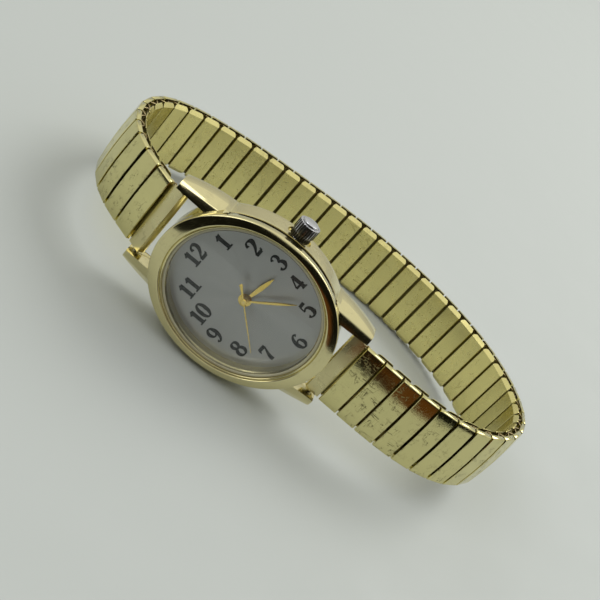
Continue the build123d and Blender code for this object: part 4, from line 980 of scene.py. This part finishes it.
def hollow_out(piece, wall, finish):
    """Gives an open tray walls that reach inward, dull and dark on their inner side: painted shade for the
    gaps between caps and shells.
    """
    take(piece)
    for name in (finish, "gold_hollows"):
        piece.data.materials.append(finish_named(name))
    skin = piece.modifiers.new("walls", "SOLIDIFY")
    skin.thickness = wall
    skin.offset = -1.0
    skin.use_even_offset = True
    # The inner faces take the painted shade of the gaps.
    skin.material_offset = 1
    bpy.ops.object.modifier_apply(modifier=skin.name)


def model_cap(shape, finish):
    """A bracelet cap in its link frame: a crowned tray, open below, that rolls over into its end walls."""
    cap = new_box(CAP_SIZE, (0, 0, CAP_MIDDLE))
    pick_faces(cap, lambda middle, normal: normal.z < -0.9)
    bpy.ops.mesh.delete(type="ONLY_FACE")
    cut_across("Y", (-4.4, -2.4, 0.0, 2.4, 4.4))
    for reach in (2.4, 4.4, LINK_HALF):
        pick_points(cap, lambda point: abs(abs(point.y) - reach) < 0.01 and point.z > 1.0)
        move(0, 0, -shape.cap_crown * (reach / LINK_HALF) ** 2)
    bevel_edges(
        cap, shape.cap_rounding, 4, lambda a, b: a.y * b.y > LINK_EDGE ** 2 and min(a.z, b.z) > 0.7)
    bevel_edges(
        cap, 0.08, 1, lambda a, b: abs(a.x - b.x) < 1e-4 and abs(a.x) > 1.4 and min(a.z, b.z) > 0.4)
    hollow_out(cap, shape.band_wall, finish)
    return cap


def model_shell(shape, finish):
    """A bracelet shell in its link frame: a tray, open away from the wrist, whose ends slope up."""
    shell = new_box(SHELL_SIZE, (0, 0, SHELL_MIDDLE))
    pick_faces(shell, lambda middle, normal: normal.z > 0.9)
    bpy.ops.mesh.delete(type="ONLY_FACE")
    slope = LINK_HALF - shape.pad_length
    cut_across("Y", (-slope, slope))
    pick_points(shell, lambda point: abs(point.y) > LINK_EDGE and point.z < -1.1)
    move(0, 0, PAD_RISE)
    pick_points(shell, lambda point: abs(point.y) > LINK_EDGE and point.z > -0.2)
    move(0, 0, -PAD_RISE)
    bevel_edges(
        shell, 0.5, 4, lambda a, b: abs(a.x - b.x) < 1e-4 and min(abs(a.y), abs(b.y)) > LINK_EDGE)
    bevel_edges(
        shell, 0.07, 1, lambda a, b: abs(a.x - b.x) < 1e-4 and abs(a.x) > 1.35 and max(a.z, b.z) < -1.1)
    # No side walls beside the pads, where the next link's staples slide past as the band stretches.
    pick_faces(shell, lambda middle, normal: (
        abs(middle.y) > slope and abs(normal.x) > 0.3 and abs(normal.z) < 0.5
    ))
    bpy.ops.mesh.delete(type="FACE")
    hollow_out(shell, shape.band_wall, finish)
    return shell


def loose_parts(mesh):
    """The unconnected parts of a mesh, as lists of its points."""
    seen, parts = set(), []
    for start in mesh.verts:
        if start.index in seen:
            continue
        seen.add(start.index)
        part, reach = [], [start]
        while reach:
            point = reach.pop()
            part.append(point)
            for edge in point.link_edges:
                other = edge.other_vert(point)
                if other.index not in seen:
                    seen.add(other.index)
                    reach.append(other)
        parts.append(part)
    return parts


def link_frame(points):
    """A cap's or shell's link frame in the watch's axes: along the loop, toward 3, away from the wrist."""
    middle = sum((point.co for point in points), Vector()) / len(points)
    spread_xx = sum((point.co.x - middle.x) ** 2 for point in points)
    spread_zz = sum((point.co.z - middle.z) ** 2 for point in points)
    spread_xz = sum((point.co.x - middle.x) * (point.co.z - middle.z) for point in points)
    lean = math.atan2(2 * spread_xz, spread_xx - spread_zz) / 2
    along = Vector((math.cos(lean), 0.0, math.sin(lean)))
    across = Vector((0, 1, 0))
    outward = along.cross(across)
    if outward.dot(middle - LOOP_CENTRE) < 0:
        along, outward = -along, -outward
    centre = Vector()
    for axis in (along, across, outward):
        reaches = [point.co.dot(axis) for point in points]
        centre += axis * (min(reaches) + max(reaches)) / 2
    return matrix_of(along, across, outward, centre)


class WATCH_OT_bracelet(bpy.types.Operator):
    """Models one cap and one shell and lays copies of them along the stretch bracelet"""

    bl_idname = "watch.bracelet"
    bl_label = "Bracelet"

    def execute(self, context):
        shape = context.scene.watch_shape
        cap = model_cap(shape, "gold_band")
        shell = model_shell(shape, "gold_inside")
        for number in range(1, SEGMENTS + 1):
            node = "bracelet_%02d" % number
            rest = copy_of_node(node)
            rest.data.materials.append(finish_named("gold_staples"))
            open_edit(rest, "VERT")
            mesh = bmesh.from_edit_mesh(rest.data)
            placed = []
            for part in loose_parts(mesh):
                width = max(point.co.y for point in part) - min(point.co.y for point in part)
                if width > CAP_WIDER_THAN:
                    placed.append((cap, link_frame(part) @ Matrix.Translation((0, 0, -CAP_MIDDLE))))
                elif width > SHELL_WIDER_THAN:
                    placed.append((shell, link_frame(part) @ Matrix.Translation((0, 0, -SHELL_MIDDLE))))
                else:
                    continue
                for point in part:
                    point.select_set(True)
            mesh.select_flush_mode()
            bmesh.update_edit_mesh(rest.data)
            bpy.ops.mesh.delete(type="VERT")
            ease_edges(rest, 0.045, 1)
            copies = []
            for model, place in placed:
                copies.append(new_object("copy", model.data.copy()))
                copies[-1].data.transform(place)
            join(rest, *copies)
            settle(rest, "links_%02d" % number, "segment_%02d" % number, None, (node,), angle=40)
        for model in (cap, shell):
            bpy.data.objects.remove(model)
        return {"FINISHED"}


class WATCH_OT_stage(bpy.types.Operator):
    """Lays the table, lights it softly and sets the camera at the photograph's angle"""

    bl_idname = "watch.stage"
    bl_label = "Stage"

    def execute(self, context):
        settings = context.scene.watch_stage
        context.scene.view_settings.view_transform = "Standard"
        let_go()
        paper = plain_finish("table_paper", tuple(context.scene.watch_finish.table), 0.7, 0.015, 0.05)
        for name, middle in (("table_top", 0.7), ("table_front", -0.9)):
            bpy.ops.mesh.primitive_plane_add(size=1.6, location=(0, middle, 0))
            table = context.object
            table.name = name
            table.data.materials.append(paper)
            # Mirrors don't see the near part of the table, because the photograph's are dark there.
            table.visible_glossy = name == "table_top"

        world = bpy.data.worlds.new("room")
        world.use_nodes = True
        context.scene.world = world
        tree = world.node_tree
        outlook = node_in(tree, "TexCoord").outputs["Generated"]
        parts = node_in(tree, "SeparateXYZ", Vector=outlook).outputs
        heights = ramp_of(tree, parts["Z"], (
            (0.0, (0.55, 0.55, 0.50)), (0.15, (0.62, 0.62, 0.57)), (0.45, (0.85, 0.86, 0.83)),
            (1.0, (1.0, 1.0, 0.98)),
        ))
        # The photographed metal mirrors something dark in front. What it was isn't known: this imitates it.
        uneven = noise_of(tree, outlook, 2.5, 2.0)
        forward = maths(tree, "MULTIPLY_ADD", uneven, 0.2, parts["Y"])
        upward = maths(tree, "MULTIPLY_ADD", uneven, 0.2, parts["Z"])
        dark_front = maths(
            tree, "MULTIPLY", spread(tree, forward, -0.36, -0.26, 1.0, 0.0),
            spread(tree, upward, 0.72, 0.82, 1.0, 0.0))
        # A brown patch lies low on the right in it; the rest is nearly black.
        sideways = maths(tree, "MULTIPLY_ADD", noise_of(tree, outlook, 6.0, 2.0), 0.25, parts["X"])
        warmth = ramp_of(tree, sideways, ((0.0, 0.0), (0.2, 0.0), (0.28, 1.0), (0.55, 1.0), (0.65, 0.0)))
        brown = maths(tree, "MULTIPLY", spread(tree, upward, 0.24, 0.36, 1.0, 0.0), warmth)
        browns = ramp_of(tree, brown, (
            (0.0, (0.008, 0.008, 0.006)), (0.25, (0.030, 0.014, 0.006)), (1.0, (0.12, 0.048, 0.014)),
        ))
        # Only mirrors and light meet the dark front: a camera behind the watch sees a plain pale wall.
        seen = node_in(tree, "LightPath").outputs["Is Camera Ray"]
        share = maths(tree, "MULTIPLY", dark_front, maths(tree, "SUBTRACT", 1.0, seen))
        feed(
            tree, tree.nodes["Background"], Color=mixed(tree, share, heights, browns),
            Strength=settings.room_light)

        for name, place, size, power, tint in (
            ("window", (0.25, 0.30, 0.45), 0.35, settings.window_light, (1.0, 1.0, 0.98)),
            ("fill", (-0.35, -0.25, 0.35), 0.3, settings.window_light * 0.35, (0.97, 0.98, 1.0)),
        ):
            data = bpy.data.lights.new(name, "AREA")
            data.shape = "RECTANGLE"
            data.size = data.size_y = size
            data.energy = power
            data.color = tint
            light = new_object(name, data)
            light.location = place
            light.rotation_euler = (-Vector(place)).to_track_quat("-Z", "Y").to_euler()

        around, above, roll = (
            math.radians(angle) for angle in (CAMERA_AROUND, CAMERA_ABOVE, CAMERA_ROLL))
        back = Vector((
            math.sin(around) * math.cos(above), math.sin(above), math.cos(around) * math.cos(above)))
        level = (-back).cross(Vector((0, 1, 0))).normalized()
        upright = level.cross(-back)
        image_right = level * math.cos(roll) + upright * math.sin(roll)
        image_up = upright * math.cos(roll) - level * math.sin(roll)
        lens = bpy.data.cameras.new("photo_view")
        lens.lens = settings.lens
        lens.sensor_width = 36.0
        lens.clip_start = 0.005
        lens.clip_end = 5.0
        camera = new_object("photo_view", lens)
        turn = WATCH.to_3x3().normalized()
        camera.matrix_world = matrix_of(
            turn @ image_right, turn @ image_up, turn @ back, WATCH @ CAMERA_PLACE)
        context.scene.camera = camera
        return {"FINISHED"}


STEPS = (
    WATCH_OT_finishes, WATCH_OT_bezel, WATCH_OT_case, WATCH_OT_glass, WATCH_OT_dial, WATCH_OT_hands,
    WATCH_OT_crown, WATCH_OT_movement, WATCH_OT_bracelet, WATCH_OT_stage,
)


class WATCH_PT_steps(bpy.types.Panel):
    """The steps of the watch and their settings"""

    bl_idname = "WATCH_PT_steps"
    bl_label = "Watch"
    bl_space_type = "VIEW_3D"
    bl_region_type = "UI"
    bl_category = "Watch"

    def draw(self, context):
        for step in STEPS:
            self.layout.operator(step.bl_idname)
        for group in (context.scene.watch_shape, context.scene.watch_finish, context.scene.watch_stage):
            for name in group.__annotations__:
                self.layout.prop(group, name)


def register():
    """Registers the settings, the steps and the panel."""
    for kind in (WatchShape, WatchFinish, WatchStage, *STEPS, WATCH_PT_steps):
        bpy.utils.register_class(kind)
    bpy.types.Scene.watch_shape = PointerProperty(type=WatchShape)
    bpy.types.Scene.watch_finish = PointerProperty(type=WatchFinish)
    bpy.types.Scene.watch_stage = PointerProperty(type=WatchStage)


def unregister():
    """Takes the settings, the steps and the panel out again."""
    del bpy.types.Scene.watch_shape
    del bpy.types.Scene.watch_finish
    del bpy.types.Scene.watch_stage
    for kind in (WATCH_PT_steps, *reversed(STEPS), WatchStage, WatchFinish, WatchShape):
        bpy.utils.unregister_class(kind)


def main():
    """Builds the dressed watch."""
    register()
    bpy.ops.watch.finishes()
    bpy.ops.watch.bezel()
    bpy.ops.watch.case()
    bpy.ops.watch.glass()
    bpy.ops.watch.dial()
    bpy.ops.watch.hands()
    bpy.ops.watch.crown()
    bpy.ops.watch.movement()
    bpy.ops.watch.bracelet()
    bpy.ops.watch.stage()


if __name__ == "__main__":
    main()
